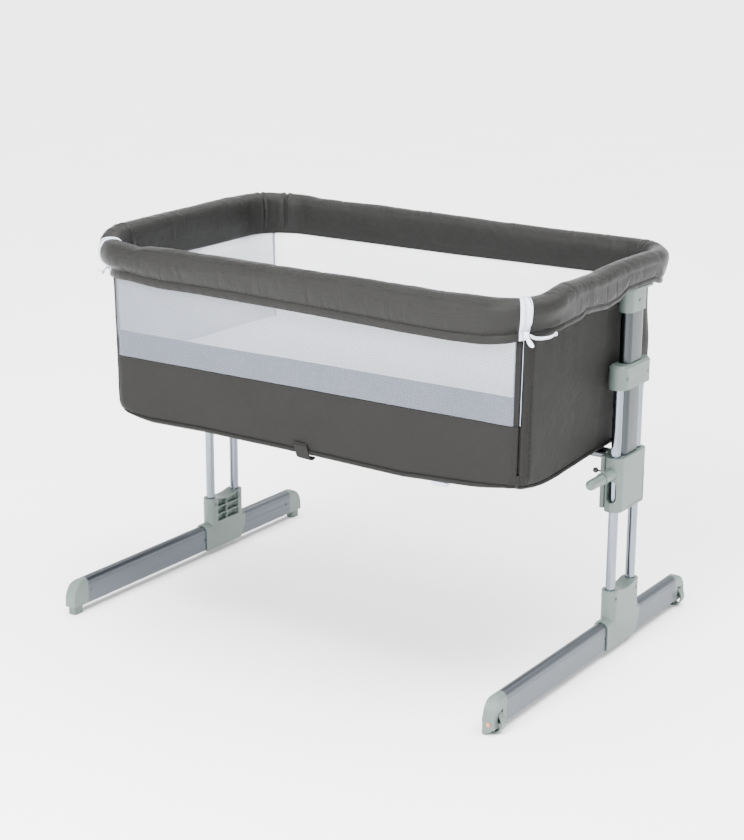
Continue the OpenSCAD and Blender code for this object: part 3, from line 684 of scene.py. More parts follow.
def rim_ctrl(s):
    hc, um, ub, vb, vf = (lut(t, s) for t in (HC, UM, UB, VB, VF))
    mid = np.minimum(np.maximum(13.6, ub + 2.6), um + 0.5)
    P = [
        (ub, vb), (ub + 1.2, vb + 4), (ub + 0.4, vb + 9), (ub + 2.6, vb + 13), (mid, vb + 22), (um - 0.8, np.maximum(hc - 24, vb + 30)),
        (um, hc - 15), (um - 2.6, hc - 6.5), (um - 10, hc - 0.8), (1, hc), (-9, hc - 1.8), (-16, hc - 8), (-19, hc - 19), (-20, np.minimum(-5, hc - 24)),
        (-20.2, -20), (-20.6, vf), (-17.6, vf), (-17, -20), (-14.6, -6), (-12.9, 4), (-7.5, 11.6), (0, 13.0), (7.5, 11.6), (12.9, 4),
        (14, -8), (ub - 3.0 + (14 - ub + 3.0) * 0.3, vb + 14), (ub - 2.8, vb + 2),
    ]
    one = np.ones_like(s)
    return np.stack([np.stack([one * a, one * b], -1) for a, b in P], 1)


HCF = np.array([(0, 18), (20, 19), (45, 18.5), (84, 15), (106, 18), (171, 18.8), (287, 17), (428, 15), (556, 13.4), (660, 12.4), (734, 12.8), (800, 13.8), (FRONT_L, 14.5)])
VBF = np.array([(0, -49), (20, -47.5), (66, -46), (146, -50.6), (234, -50.3), (444, -54.4), (638, -60), (731, -61.6), (785, -60.4), (820, -56), (FRONT_L, -50)])


UBF = np.array([(0, 5.2), (25, 7.5), (60, 12.5), (110, 16.6), (160, 17.2), (640, 17.2), (730, 16.8), (790, 14.0), (825, 9.0), (FRONT_L, 6.6)])


def front_ctrl(s):
    hc, vb, ub = lut(HCF, s), lut(VBF, s), lut(UBF, s)
    P = [
        (ub, vb), (ub + 1.4, vb + 4), (ub + 1.1, vb + 9), (ub, vb + 14), (ub + 2.2, vb + 17.5), (ub + (24.6 - ub) * 0.72, (vb + 20) * 0.62 - 5), (24.4, -12 + 0 * vb), (24.9, -2.5), (22.8, 5.0),
        (16.8, hc - 3.6), (9.5, hc - 0.7), (1.5, hc), (-7, hc - 1.3), (-14, hc - 5.6), (-18, hc - 13.5), (-19.6, -8), (-20, -20), (-20.4, -33),
        (-17.6, -33), (-17, -20), (-14.4, -6), (-12, 3), (-7, 9), (0, 10.8), (7, 9), (12, 3), (13.4, -8), (ub - 2.8 + (14.0 - ub + 2.8) * 0.45, vb + 22), (ub - 2.7, vb + 12), (ub - 2.5, vb + 1.5),
    ]
    one = np.ones_like(s)
    return np.stack([np.stack([one * a, one * b], -1) for a, b in P], 1)


def puckers(s, seed, period=9.0, amp=0.7):
    """Irregular gathers along a stitch line."""
    w = s + 5.0 * noise3(stack(s / 37.0, 0.3, seed), seed)
    a = 0.5 + 0.5 * noise3(stack(s / 60.0, 3.1, seed), seed + 5)
    return amp * a * np.sin(2 * math.pi * w / period)


def soften(v, s, seed, outer, hem_rows, stitch_row, amp=1.0):
    """Wrinkles of a padded rim: v (n, m, 3), s (n,), outer (m,) weight of the visible skin."""
    n, m = v.shape[:2]
    nr = grid_normals(v, close_m=True)
    c = v[:, outer > 0.5].mean(1, keepdims=True)
    flip = np.sign(((v[:, outer > 0.5] - c) * nr[:, outer > 0.5]).sum())
    nr = nr * flip
    t = np.arange(m)
    S, T = np.meshgrid(s, t, indexing="ij")
    p = v / 1000.0
    big = fbm(p * 11, seed, 3) * 0.7
    fold = 1 - np.abs(noise3(np.stack([S / 34.0 + T * 0.05, T / 13.0, 0 * S], -1), seed + 3)) * 2.2
    fold = np.clip(fold, 0, 1) ** 3
    gate = smooth(noise3(np.stack([S / 90.0, T / 30.0, 0 * S + 7], -1), seed + 9), 0.05, 0.55)
    d = amp * (big + 0.9 * fold * gate)
    hem = np.exp(-(((T - hem_rows) / 3.0) ** 2))
    d = d + (puckers(s, seed + 2, 26.0, 0.8) + puckers(s, seed + 4, 11.0, 0.25))[:, None] * hem
    return v + nr * (d * outer[None, :])[..., None], nr


def skin_weight(n_ctrl, sub, last):
    """1 on the spans of the visible skin, falling off before the turned-in rows."""
    t = np.arange(n_ctrl * sub) / sub
    return smooth(t, -0.2, 0.8) * (1 - smooth(t, last - 1.5, last - 0.3))


SUB = 3
s_rim = np.concatenate([np.linspace(0, RIM_L, 330)])
rim0 = place(rim_frame(s_rim), spline(rim_ctrl(s_rim), SUB))
W_RIM = skin_weight(27, SUB, 15)
rim_v, rim_n = soften(rim0, s_rim, 11, W_RIM, 0, 2 * SUB)


def seam(v, nr, s, at, w, depth, weight):
    """A sewn cross seam pulls the skin in along a line."""
    d = np.exp(-(((s - at) / w) ** 2)) * depth
    side = np.exp(-(((np.abs(s - at) - 2.6 * w) / (1.2 * w)) ** 2)) * depth * 0.45
    return v - nr * ((d - side)[:, None] * weight[None, :])[..., None]


s_front = np.linspace(0, FRONT_L, 190)
front0 = place(front_frame(s_front), spline(front_ctrl(s_front), SUB))
W_FRONT = skin_weight(30, SUB, 17)
front_v, front_n = soften(front0, s_front, 23, W_FRONT, 0, 3 * SUB, amp=0.75)


# ------------------------------------------------------------------ basket outline


def wall_x(z):
    return np.minimum(408.6 + (z - 360) * 0.0695, 426.0)


def wall_y(z):
    return 239.0 + (z - 360) * 0.056


def rear_r(z):
    return 40 + 46 * smooth(z, 480, 625)


def front_cx(z):
    return 396.0 + np.interp(z, [350, 420, 540, 600, 640], [-3.5, -2, 0, 1, 1.2])


N_FA, N_SD, N_RA, N_BK = 15, 58, 26, 110
TH0 = 43.0


def outline(z, off=0.0, th0=TH0):
    """Plan outline of the basket at height z (rows), from the right front corner round
    the back to the left one, moved outwards by off. Returns points and outward directions."""
    z = np.asarray(z, float)[:, None]
    o = np.asarray(off, float)
    o = o[:, None] if o.ndim == 1 else o + 0 * z
    X, Y, R, C = wall_x(z), wall_y(z), rear_r(z), front_cx(z)
    parts, norms = [], []
    th = np.radians(np.linspace(th0, 90, N_FA))[None]
    parts.append(np.stack([C + 30 * np.sin(th), -203 - 30 * np.cos(th) + 0 * z], -1))
    norms.append(np.stack([np.sin(th) + 0 * z, -np.cos(th) + 0 * z], -1))
    w = np.linspace(0, 1, N_SD + 1)[None, 1:]
    y0, y1 = -203.0, Y - R
    ww = w * w * (3 - 2 * w) * 0.5 + w * 0.5
    parts.append(np.stack([(C + 30) * (1 - ww) + X * ww, y0 + (y1 - y0) * w], -1))
    norms.append(np.stack([1 + 0 * z * w, 0 * z * w], -1))
    a = np.radians(np.linspace(0, 90, N_RA + 1))[None, 1:]
    parts.append(np.stack([X - R + R * np.cos(a), Y - R + R * np.sin(a)], -1))
    norms.append(np.stack([np.cos(a) + 0 * z, np.sin(a) + 0 * z], -1))
    h = np.linspace(0, 1, N_BK // 2 + 1)[None, 1:]
    parts.append(np.stack([(X - R) * (1 - h), Y + 0 * h], -1))
    norms.append(np.stack([0 * z * h, 1 + 0 * z * h], -1))
    p, nn = np.concatenate(parts, 1), np.concatenate(norms, 1)
    pm, nm = p[:, :-1][:, ::-1].copy(), nn[:, :-1][:, ::-1].copy()
    pm[..., 0] *= -1
    nm[..., 0] *= -1
    p, nn = np.concatenate([p, pm], 1), np.concatenate([nn, nm], 1)
    return p + nn * o[..., None], nn


_mid, _ = outline([500.0])
OUT_S = np.concatenate([[0], np.cumsum(np.linalg.norm(np.diff(_mid[0], axis=0), axis=1))])
OUT_L = OUT_S[-1]
N_OUT = len(OUT_S)


def corner_w(x, y):
    """Near 1 at the four plan corners of the basket, 0 along its sides."""
    x, y = np.abs(x), np.asarray(y)
    d1 = np.hypot(x - 417, y + 224)
    d2 = np.hypot(x - 398, y - 228)
    return np.exp(-((d1 / 46) ** 2)) + np.exp(-((d2 / 46) ** 2))


def zb_of(x, y):
    front = np.interp(x, [-420, -396, -333, -218, 0, 200, 332, 387, 420], [357, 356, 353, 355.0, 353, 349, 356, 360, 360])
    end = np.interp(y, [-233, -203, -184, -118, -50, 21, 240], [358.5, 357.5, 356, 354.5, 356.5, 359, 359])
    w = smooth(np.asarray(y), -233, -205)
    return front * (1 - w) + end * w


def hem_rows(x, y, wall_rows):
    """z and inward shift of the rows: turned-under edge, rounded hem, then the wall."""
    cw = corner_w(x, y)
    zb = zb_of(x, y) + 1.5 * cw
    r = 8.5 + 19 * cw
    zs, ins = [], []
    for k in (34.0, 22.0, 11.0):
        zs.append(zb + 1.2 * (k > 30))
        ins.append(r + k)
    for ph in np.linspace(90, 0, 9):
        zs.append(zb + r * (1 - math.sin(math.radians(ph))))
        ins.append(r * (1 - math.cos(math.radians(ph))))
    base = zb + r
    for w in wall_rows:
        zs.append(base + (w[0] - base) * w[1])
        ins.append(0 * r)
    return np.stack(zs), np.stack(ins)


def wall_points(top, rows, flare=True):
    """Outer skin of the basket's end and back walls."""
    wr = [(top, t) for t in np.linspace(0, 1, rows + 1)[1:]]
    p0, n0 = outline([400.0])
    Z, I = hem_rows(p0[0, :, 0], p0[0, :, 1], wr)
    n, m = Z.shape
    P = np.zeros((n, m, 3))
    NN = np.zeros((n, m, 2))
    for i in range(n):
        pts, nn = outline(Z[i])
        q = np.arange(m)
        P[i, :, :2] = pts[q, q] - nn[q, q] * I[i][:, None]
        P[i, :, 2] = Z[i]
        NN[i] = nn[q, q]
    return P, NN


def ridge(x):
    return np.clip(1 - np.abs(x) * 2.0, 0, 1) ** 2


P_wall, N_wall = wall_points(646.0, 104)
S_W = np.broadcast_to(OUT_S[None], P_wall.shape[:2])
Zw = P_wall[..., 2]
left_side = S_W > OUT_L / 2
s_end = np.where(left_side, OUT_L - S_W, S_W)  # distance from the front corner's edge
d = 0.9 * fbm(P_wall / 1000 * 5.5, 41, 3)
# soft upright folds that gather near the top and in the corners
d += 0.9 * noise3(stack(S_W / 26.0, Zw / 210.0, 0), 43) * smooth(Zw, 470, 620)
d += 0.7 * ridge(noise3(stack(S_W / 38.0 + Zw / 150.0, Zw / 90.0, 2), 47)) * smooth(corner_w(P_wall[..., 0], P_wall[..., 1]), 0.05, 0.6)
# drag lines above the lower hem
d += 0.6 * noise3(stack(S_W / 16.0 + Zw / 60.0, 0 * Zw, 1), 48) * np.exp(-(((Zw - 366) / 12) ** 2))
# piped seam beside the front corner, with the gathers of its stitches
seam_s = 10.5
pk = np.sin(2 * math.pi * (Zw + 3.0 * noise3(stack(Zw / 21.0, 0, left_side * 3.0), 51)) / 8.5)
d += 1.1 * np.exp(-(((s_end - seam_s) / 1.7) ** 2)) + (0.7 * pk - 0.9) * np.exp(-(((s_end - seam_s - 4.6) / 2.4) ** 2)) + 0.55 * pk * np.exp(-(((s_end - seam_s + 3.5) / 2.2) ** 2))
# the sewn-in edge turns inwards
d -= 3.2 * (1 - smooth(s_end, 0, 4.0))
hz = zb_of(P_wall[..., 0], P_wall[..., 1])
line = Zw - (hz + 10.0)
d += np.where(line < 0, 1.3, 0.0) * smooth(Zw - hz, 0, 6) - 2.6 * np.exp(-((line / 1.3) ** 2)) + 0.9 * np.exp(-(((line + 4.2) / 2.4) ** 2)) + 0.4 * puckers(S_W, 53, 12.0, 1.0) * np.exp(-(((line - 3) / 4.0) ** 2))
keep = np.exp(-(((np.abs(P_wall[..., 0]) - 420) / 30) ** 2)) * smooth(P_wall[..., 1], 20, 45) * (1 - smooth(P_wall[..., 1], 150, 175))
d = d * (1 - 0.9 * keep) - 1.0 * keep
d = np.where(Zw > 540, np.maximum(d, -0.4 - 0.7 * keep), d)
flare_w = (1 - smooth(P_wall[..., 1], 30, 52) * (1 - smooth(P_wall[..., 1], 148, 165)) * (np.abs(P_wall[..., 0]) > 380)) * smooth(s_end, 0, 30)
d += np.interp(Zw, [618, 628, 636, 642, 646], [0, 3.5, 10, 16, 21]) * flare_w
P_wall[..., 0] += N_wall[..., 0] * d
P_wall[..., 1] += N_wall[..., 1] * d


def press_flat(P, limit):
    """Cloth behind the stands is held flat, clear of the collars at every height."""
    x, y, z = np.abs(P[..., 0]), P[..., 1], P[..., 2]
    k = smooth(y, 32, 46) * (1 - smooth(y, 152, 168)) * smooth(z, 500, 540) * (1 - smooth(z, 603, 616)) * (x > 400)
    P[..., 0] = np.sign(P[..., 0]) * (x - k * np.maximum(x - limit, 0))


press_flat(P_wall, 421.7)

def hem_line(name, p, nr, off, cut):
    """Thread line of the hem: a thin near-black cord sunk in the groove above the lower edge; its dark tone is painted
    shade of the groove.
    """
    pts = []
    for j in range(cut, p.shape[1] - cut):
        i = int(np.clip((off[:, j] < 0).sum() - 1, 0, p.shape[0] - 2))
        t = float(np.clip(-off[i, j] / (off[i + 1, j] - off[i, j]), 0, 1))
        pts.append(p[i, j] * (1 - t) + p[i + 1, j] * t + np.array([nr[i, j, 0], nr[i, j, 1], 0]) * 0.5)
    path = spline(np.array(pts), 2, closed=False)
    sweep_line(name, path, ring(0.75, 8), M["stitch"].m, "basket")


hem_line("hem_thread_wall", P_wall, N_wall, line, 2)
shell_wall = slab("shell_wall", P_wall, 1.8, M["shell"].m, "basket", inward=(0, 0, 480))
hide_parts("left_panel", "right_panel", "back_panel", "front_corners")

# ------------------------------------------------------------------ front panel and corners


def front_outline(th0, n_mid=150, n_arc=9):
    """x, y and outward direction along the front, from the left corner to the right."""
    th = np.radians(np.linspace(th0, 0, n_arc))
    xl = -396 - 30 * np.sin(th)
    yl = -203 - 30 * np.cos(th)
    xm = np.linspace(-396, 396, n_mid)[1:-1]
    x = np.concatenate([xl, xm, -xl[::-1]])
    y = np.concatenate([yl, -233 + 0 * xm, yl[::-1]])
    nx = np.concatenate([-np.sin(th), 0 * xm, np.sin(th)[::-1]])
    ny = np.concatenate([-np.cos(th), 0 * xm - 1, -np.cos(th)[::-1]])
    return x, y, nx, ny


fx, fy, fnx, fny = front_outline(39.6, n_arc=12)
TOP_F = 468.8
Zf, If = hem_rows(fx, fy, [(TOP_F, t) for t in np.linspace(0, 1, 48)[1:]])
P = np.zeros(Zf.shape + (3,))
shift = front_cx(Zf) - 396
P[..., 0] = fx - fnx * If + np.sign(fx) * shift * smooth(np.abs(fx), 330, 396)
P[..., 1] = fy - fny * If
P[..., 2] = Zf
s_f = np.concatenate([[0], np.cumsum(np.hypot(np.diff(fx), np.diff(fy)))])
SF = np.broadcast_to(s_f[None], Zf.shape)
LF = s_f[-1]
d = 0.8 * fbm(P / 1000 * 6, 61, 3)
d += 0.7 * noise3(stack(SF / 30.0, Zf / 300.0, 0), 63) * smooth(corner_w(P[..., 0], P[..., 1]), 0.02, 0.5)
d += 0.8 * ridge(noise3(stack(SF / 55.0 - Zf / 120.0, Zf / 70.0, 4), 66)) * smooth(corner_w(P[..., 0], P[..., 1]), 0.02, 0.5)
hz = zb_of(P[..., 0], P[..., 1])
line = Zf - (hz + 10.0)
d += np.where(line < 0, 1.3, 0.0) * smooth(Zf - hz, 0, 6) - 2.6 * np.exp(-((line / 1.3) ** 2)) + 0.9 * np.exp(-(((line + 4.2) / 2.4) ** 2)) + 0.4 * puckers(SF, 67, 12.0, 1.0) * np.exp(-(((line - 3) / 4.0) ** 2))
# sewn top edge under the window
d += 0.35 * puckers(SF, 69, 8.0, 1.0) * np.exp(-(((Zf - 463) / 3.0) ** 2)) - 0.8 * np.exp(-(((Zf - 464.8) / 1.2) ** 2))
# pull of the strap tab
d += 0.9 * np.exp(-(((P[..., 0] + 24) / 5) ** 2) - (((Zf - 366) / 22) ** 2)) - 0.5 * np.exp(-(((P[..., 0] - 20) / 7) ** 2) - (((Zf - 362) / 26) ** 2))
edge = np.minimum(SF, LF - SF)
zk = np.sin(2 * math.pi * (Zf + 3 * noise3(stack(Zf / 20.0, 0, 5), 71)) / 8.0)
d += (0.55 * zk + 0.6) * np.exp(-(((edge - 3.0) / 2.0) ** 2)) - 0.7 * np.exp(-(((edge - 6.6) / 1.2) ** 2)) - 3.5 * (1 - smooth(edge, 0, 2.6))
P[..., 0] += fnx * d
P[..., 1] += fny * d
hem_line("hem_thread_front", P, np.broadcast_to(np.stack([fnx, fny], -1)[None], P.shape[:2] + (2,)), line, 2)
front_panel = slab("front_panel", P, 1.8, M["shell"].m, "basket", inward=(0, 0, 430))
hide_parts("front_lower_panel")

# the hem runs on across the foot of each zip slit
for side_, nm in ((1, "right"), (-1, "left")):
    th_ = np.radians(np.linspace(34.5, 47.5, 14))
    hx_, hy_ = side_ * (396 - 3.4 + 30 * np.sin(th_)), -203 - 30 * np.cos(th_)
    Zb, Ib = hem_rows(hx_, hy_, [(389.0, t) for t in np.linspace(0, 1, 5)[1:]])
    Ib = Ib - 0.9
    P = np.stack([hx_ - side_ * np.sin(th_) * Ib, hy_ + np.cos(th_) * Ib, Zb], -1)
    slab("hem_bridge_" + nm, P[2:], 0.8, M["shell"].m, "basket", inward=(0, 0, 430))

# cloth under the basket, drawn tight over the deck tubes
bx = np.linspace(-1, 1, 70)
by = np.linspace(-1, 1, 44)
BX, BY = np.meshgrid(bx, by, indexing="ij")
r_ = 1 - 0.10 * (np.abs(BX) ** 8) * (np.abs(BY) ** 8)
P = np.stack([BX * 384 * r_, 3 + BY * 214 * r_, 355.2 + 0 * BX], -1)
P[..., 2] += 0.9 * fbm(P / 1000 * 8, 81, 3) - 1.4 * (np.exp(-(((P[..., 1] + 190) / 9) ** 2)) + np.exp(-(((P[..., 1] - 200) / 9) ** 2))) + 0.8
bottom = slab("bottom_cloth", P, 1.2, M["shell"].m, "basket", inward=(0, 0, 600))
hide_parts("bottom_panel")

# ------------------------------------------------------------------ lining

wr = [(632.0, t) for t in np.linspace(0, 1, 36)[1:]]
rows_z = np.concatenate([[449.0], np.linspace(456, 632, 46)])
pts, nn = outline(rows_z, th0=30)
off = -(5.2 - 3.4 * smooth(rows_z, 594, 630))
P = np.zeros(pts.shape[:2] + (3,))
P[..., :2] = pts + nn * off[:, None, None]
P[..., 2] = rows_z[:, None]
nl = pts.shape[1]
mids, _ = outline([540.0], th0=30)
ls = np.concatenate([[0], np.cumsum(np.linalg.norm(np.diff(mids[0], axis=0), axis=1))])
LL = ls[-1]
LS = np.broadcast_to(ls[None], P.shape[:2])
Zl = P[..., 2]
ends = np.minimum(LS, LL - LS) < 492
top_w, low_w = smooth(Zl, 500, 615), 1 - smooth(Zl, 456, 500)
d = 0.8 * fbm(P / 1000 * 7, 91, 3)
d += (1.5 * noise3(stack(LS / 17.0, Zl / 260.0, 0), 93) * top_w + 0.9 * noise3(stack(LS / 30.0, Zl / 120.0, 2), 95)) * np.where(ends, 1.0, 0.45)
d += 1.2 * noise3(stack(LS / 22.0, 0 * Zl, 4), 97) * low_w
d = np.minimum(d, 1.9) * smooth(632 - Zl, 0, 22)
P[..., 0] += nn[..., 0] * d
P[..., 1] += nn[..., 1] * d
press_flat(P, 419.2)
side_top = smooth(P[..., 1], 20, 40) * (1 - smooth(P[..., 1], 140, 160)) * smooth(Zl, 560, 590) * (np.abs(P[..., 0]) > 400)
P[..., 0] -= np.sign(P[..., 0]) * np.maximum(np.abs(P[..., 0]) - 421.4, 0) * side_top
lining = slab("lining", P, 0.9, M["lining"].m, "basket", mats=[M["lining"].m, M["lining_end"].m, M["lining_grey"].m], inward=(0, 0, 540))
ar = math.radians
a_rear = 30 * (ar(90) - ar(30)) + 371
half = np.minimum(ls, LL - ls)
rear0 = ls[len(np.radians(np.linspace(30, 90, N_FA))) + N_SD - 1]
n_cols = nl
mid_rear = rear0 + 0.5 * math.pi * rear_r(540.0) * 0.5
# the end walls take the darker lining_end copy, which is painted shade; a thin grey strip marks the rear corner seam
for p_ in lining.data.polygons:
    j = np.mean([(v % (len(rows_z) * n_cols)) % n_cols for v in p_.vertices])
    sj = half[int(j)]
    p_.material_index = 2 if abs(sj - mid_rear) < 2.6 else (1 if sj < mid_rear else 0)
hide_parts("front_corners")

# low barrier behind the foot of the window
bxs = np.linspace(-405, 405, 170)
bzs = np.array([463, 466, 470, 476, 484, 492, 500, 506, 510, 512.5, 513.4, 514.2])
BX, BZ = np.meshgrid(bxs, bzs, indexing="ij")
bend = np.clip(np.abs(BX) - 396, 0, 9) / 25.0
P = np.stack([BX, -203 - 25 * np.sqrt(1 - bend**2), BZ], -1)
dd = 0.5 * noise3(stack(BX / 45.0, BZ / 60.0, 0), 101) + 0.5 * noise3(stack(BX / 14.0, 0 * BZ, 0), 103) * (1 - smooth(BZ, 466, 492)) - 0.5 * np.exp(-(((BZ - 508) / 1.2) ** 2))
P[..., 1] -= dd
P[..., 2] += 0.8 * noise3(stack(BX / 160.0, 0 * BZ, 9), 104) * smooth(BZ, 470, 514)
barrier = slab("inner_barrier", P, 1.6, M["barrier"].m, "basket", inward=(0, 0, 490))

# ------------------------------------------------------------------ drop side: window and its side strips


def side_arc(th, z, side, r=30.0):
    t = np.radians(th)
    return np.stack([side * (front_cx(z) + r * np.sin(t)), -203 - r * np.cos(t) + 0 * z, z + 0 * t], -1)


wx = np.concatenate([-396 - 30.6 * np.sin(np.radians(np.linspace(20, 0, 7))), np.linspace(-396, 396, 200)[1:-1], 396 + 30.6 * np.sin(np.radians(np.linspace(0, 20, 7)))])
wy = np.concatenate([-203 - 30.6 * np.cos(np.radians(np.linspace(20, 0, 7))), np.full(198, -233.6), -203 - 30.6 * np.cos(np.radians(np.linspace(0, 20, 7)))])
wz = np.linspace(469.6, 644, 44)
WX, WZ = np.meshgrid(wx, wz, indexing="ij")
P = np.stack([WX + np.sign(WX) * (front_cx(WZ) - 396) * smooth(np.abs(WX), 330, 396), np.broadcast_to(wy[:, None], WX.shape), WZ], -1)
P[..., 1] += 0.9 * fbm(P / 1000 * 5, 111, 2) * smooth(WZ, 470, 500) - 0.5 * noise3(stack(WX / 80.0, WZ / 40.0, 3), 113)
window = piece("window_mesh", P.reshape(-1, 3), grid(*P.shape[:2]), M["mesh"].m, "drop_side")
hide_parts("mesh_window")
strips = []
for side_, nm in ((1, "right"), (-1, "left")):
    zz = np.concatenate([np.linspace(469.6, 641, 60)])
    th_ = np.linspace(15.5, 37.2, 12)
    TH, ZZ = np.meshgrid(th_, zz, indexing="ij")
    P = side_arc(TH, ZZ, side_, 31.0)
    nr = np.stack([side_ * np.sin(np.radians(TH)), -np.cos(np.radians(TH)), 0 * ZZ], -1)
    zk = np.sin(2 * math.pi * (ZZ + 3 * noise3(stack(ZZ / 20.0, 0, 5 + side_), 121)) / 8.0)
    e0, e1 = TH - 15.5, 37.2 - TH
    d = 0.25 * fbm(P / 1000 * 20, 123, 2) + (0.3 * zk + 0.25) * np.exp(-(((e1 - 3.5) / 3) ** 2)) - 0.45 * np.exp(-(((e0 - 4) / 1.6) ** 2)) - 1.0 * (1 - smooth(e0, 0, 2)) - 2.4 * (1 - smooth(e1, 0, 2.4))
    strips.append(slab("window_strip_" + nm, P + nr * d[..., None], 1.4, M["shell"].m, "drop_side", inward=(0, -203, 540)))
    # coil of the upright zip, sewn to the drop side
    z = np.arange(470.5, 618, 0.45)
    t = np.radians(40.3)
    cx = side_ * (front_cx(z) + 29.7 * np.sin(t))
    cy = -203 - 29.7 * np.cos(t) + 0 * z
    a = np.arange(10) * 2 * math.pi / 10
    rad = 0.5 + 0.14 * np.cos(2 * math.pi * z / 1.6)
    outd = np.array([side_ * math.sin(t), -math.cos(t), 0])
    tan = np.array([side_ * math.cos(t), math.sin(t), 0])
    V = np.stack([cx, cy, z], -1)[:, None] + rad[:, None, None] * (outd * np.cos(a)[None, :, None] * 0.8 + tan * np.sin(a)[None, :, None])
    piece("side_zip_coil_" + nm, V.reshape(-1, 3), tube_faces(len(z), 10), M["coil"].m, "drop_side")
    # tapes behind it, one on each side of the coil
    for body, lo, hi in (("drop_side", 33.0, 40.0), ("basket", 40.8, 50.0)):
        th_ = np.linspace(lo, hi, 6)
        z2 = np.linspace(470.5 if body == "drop_side" else 392, 618, 40)
        TH, ZZ = np.meshgrid(th_, z2, indexing="ij")
        P = side_arc(TH, ZZ, side_, 27.4)
        slab("side_zip_tape_%s_%s" % (body, nm), P, 0.6, M["hem"].m, body, inward=(0, -203, 540))
    # closed slit of the zip's tail below the window, backed by a near-black sheet: painted shade inside the slit
    TH, ZZ = np.meshgrid(np.linspace(34.0, 49, 8), np.linspace(383, 471, 30), indexing="ij")
    slab("slit_painted_shade_sheet_" + nm, side_arc(TH, ZZ, side_, 25.4), 1.0, M["stitch"].m, "basket", inward=(0, -203, 420))

# ------------------------------------------------------------------ mattress


def mattress_shape():
    nu, nv = 150, 34
    hx, hy, R = 408.2, 229.5, 36.0
    per = []
    for k, (cx, cy) in enumerate(((hx - R, hy - R), (-hx + R, hy - R), (-hx + R, -hy + R), (hx - R, -hy + R))):
        per += [(cx + R * math.cos(t), 5 + cy + R * math.sin(t)) for t in np.radians(np.linspace(90 * k, 90 * k + 90, 12))]
        nx, ny = (((-hx + R, hy), (-hx, -hy + R), (hx - R, -hy), (hx, hy - R)))[k]
        x0, y0 = per[-1]
        n = 34 if k % 2 == 0 else 20
        per += [(x0 + (nx - x0) * q, y0 + (5 + ny - y0) * q) for q in np.linspace(0, 1, n + 2)[1:-1]]
    per = np.array(per)
    prof = []
    for k in np.linspace(0, 1, 12):
        prof.append((k, 414.4))
    for ph in np.linspace(-90, 90, 14):
        prof.append((1 + 0.0 * ph, 0))
    rows = []
    cen = np.array([0, 5.0])
    dirs = per - cen
    ln = np.linalg.norm(dirs, axis=1, keepdims=True)
    unit = dirs / ln
    rr, z0, z1 = 11.0, 414.4, 459.4
    for k in np.linspace(0.05, 1, 12):
        rows.append((cen + unit * (ln - rr) * k, z0 + 0 * ln[:, 0]))
    for ph in np.linspace(-80, 0, 6):
        rows.append((cen + unit * (ln - rr + rr * math.cos(math.radians(ph))), z0 + rr + rr * math.sin(math.radians(ph)) + 0 * ln[:, 0]))
    for zz in np.linspace(z0 + rr + 6, z1 - rr - 6, 3):
        rows.append((cen + unit * (ln + 0.6), zz + 0 * ln[:, 0]))
    for ph in np.linspace(0, 80, 8):
        rows.append((cen + unit * (ln - rr + rr * math.cos(math.radians(ph))), z1 - rr + rr * math.sin(math.radians(ph)) + 0 * ln[:, 0]))
    for k in np.linspace(1, 0.04, 26):
        rows.append((cen + unit * (ln - rr) * k, z1 + 0.9 * (1 - k**6) + 0 * ln[:, 0]))
    v = np.stack([np.concatenate([xy, z[:, None]], 1) for xy, z in rows])
    return v


mv = mattress_shape()
nr = grid_normals(mv, close_m=True)
flip = np.sign(((mv - np.array([0, 5, 437])) * nr).sum())
md = 0.5 * fbm(mv / 1000 * 9, 131, 3) + 0.8 * ridge(noise3(mv / 1000 * np.array([14, 22, 10]), 133)) * (mv[..., 2] > 450)
md *= smooth(mv[..., 2], 415, 424)
mv = mv + nr * flip * md[..., None]
nR, nC = mv.shape[:2]
f_ = grid(nR, nC, close_m=True) + [list(range(nC))[::-1], [(nR - 1) * nC + k for k in range(nC)]]
mattress = piece("mattress_pad", mv.reshape(-1, 3), f_, M["mattress"].m, "basket")
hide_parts("mattress")
# piping round the upper edge
ed = mv[23]
ed = np.concatenate([ed, ed[:1]])
piping_c = np.array([0, 5.0])
pd = (ed[:, :2] - piping_c) / np.linalg.norm(ed[:, :2] - piping_c, axis=1, keepdims=True)
core = np.concatenate([ed[:, :2] + pd * 0.2, ed[:, 2:]], 1)[:-1]
a = np.arange(8) * 2 * math.pi / 8
V = core[:, None] + 1.3 * (np.concatenate([pd[:-1], np.zeros((len(core), 1))], 1)[:, None] * np.cos(a)[None, :, None] + np.array([0, 0, 1.0]) * np.sin(a)[None, :, None])
pipe = piece("mattress_piping", V.reshape(-1, 3), grid(len(core), 8, True, True), M["stitch_white"].m, "basket")

# ------------------------------------------------------------------ padded rims


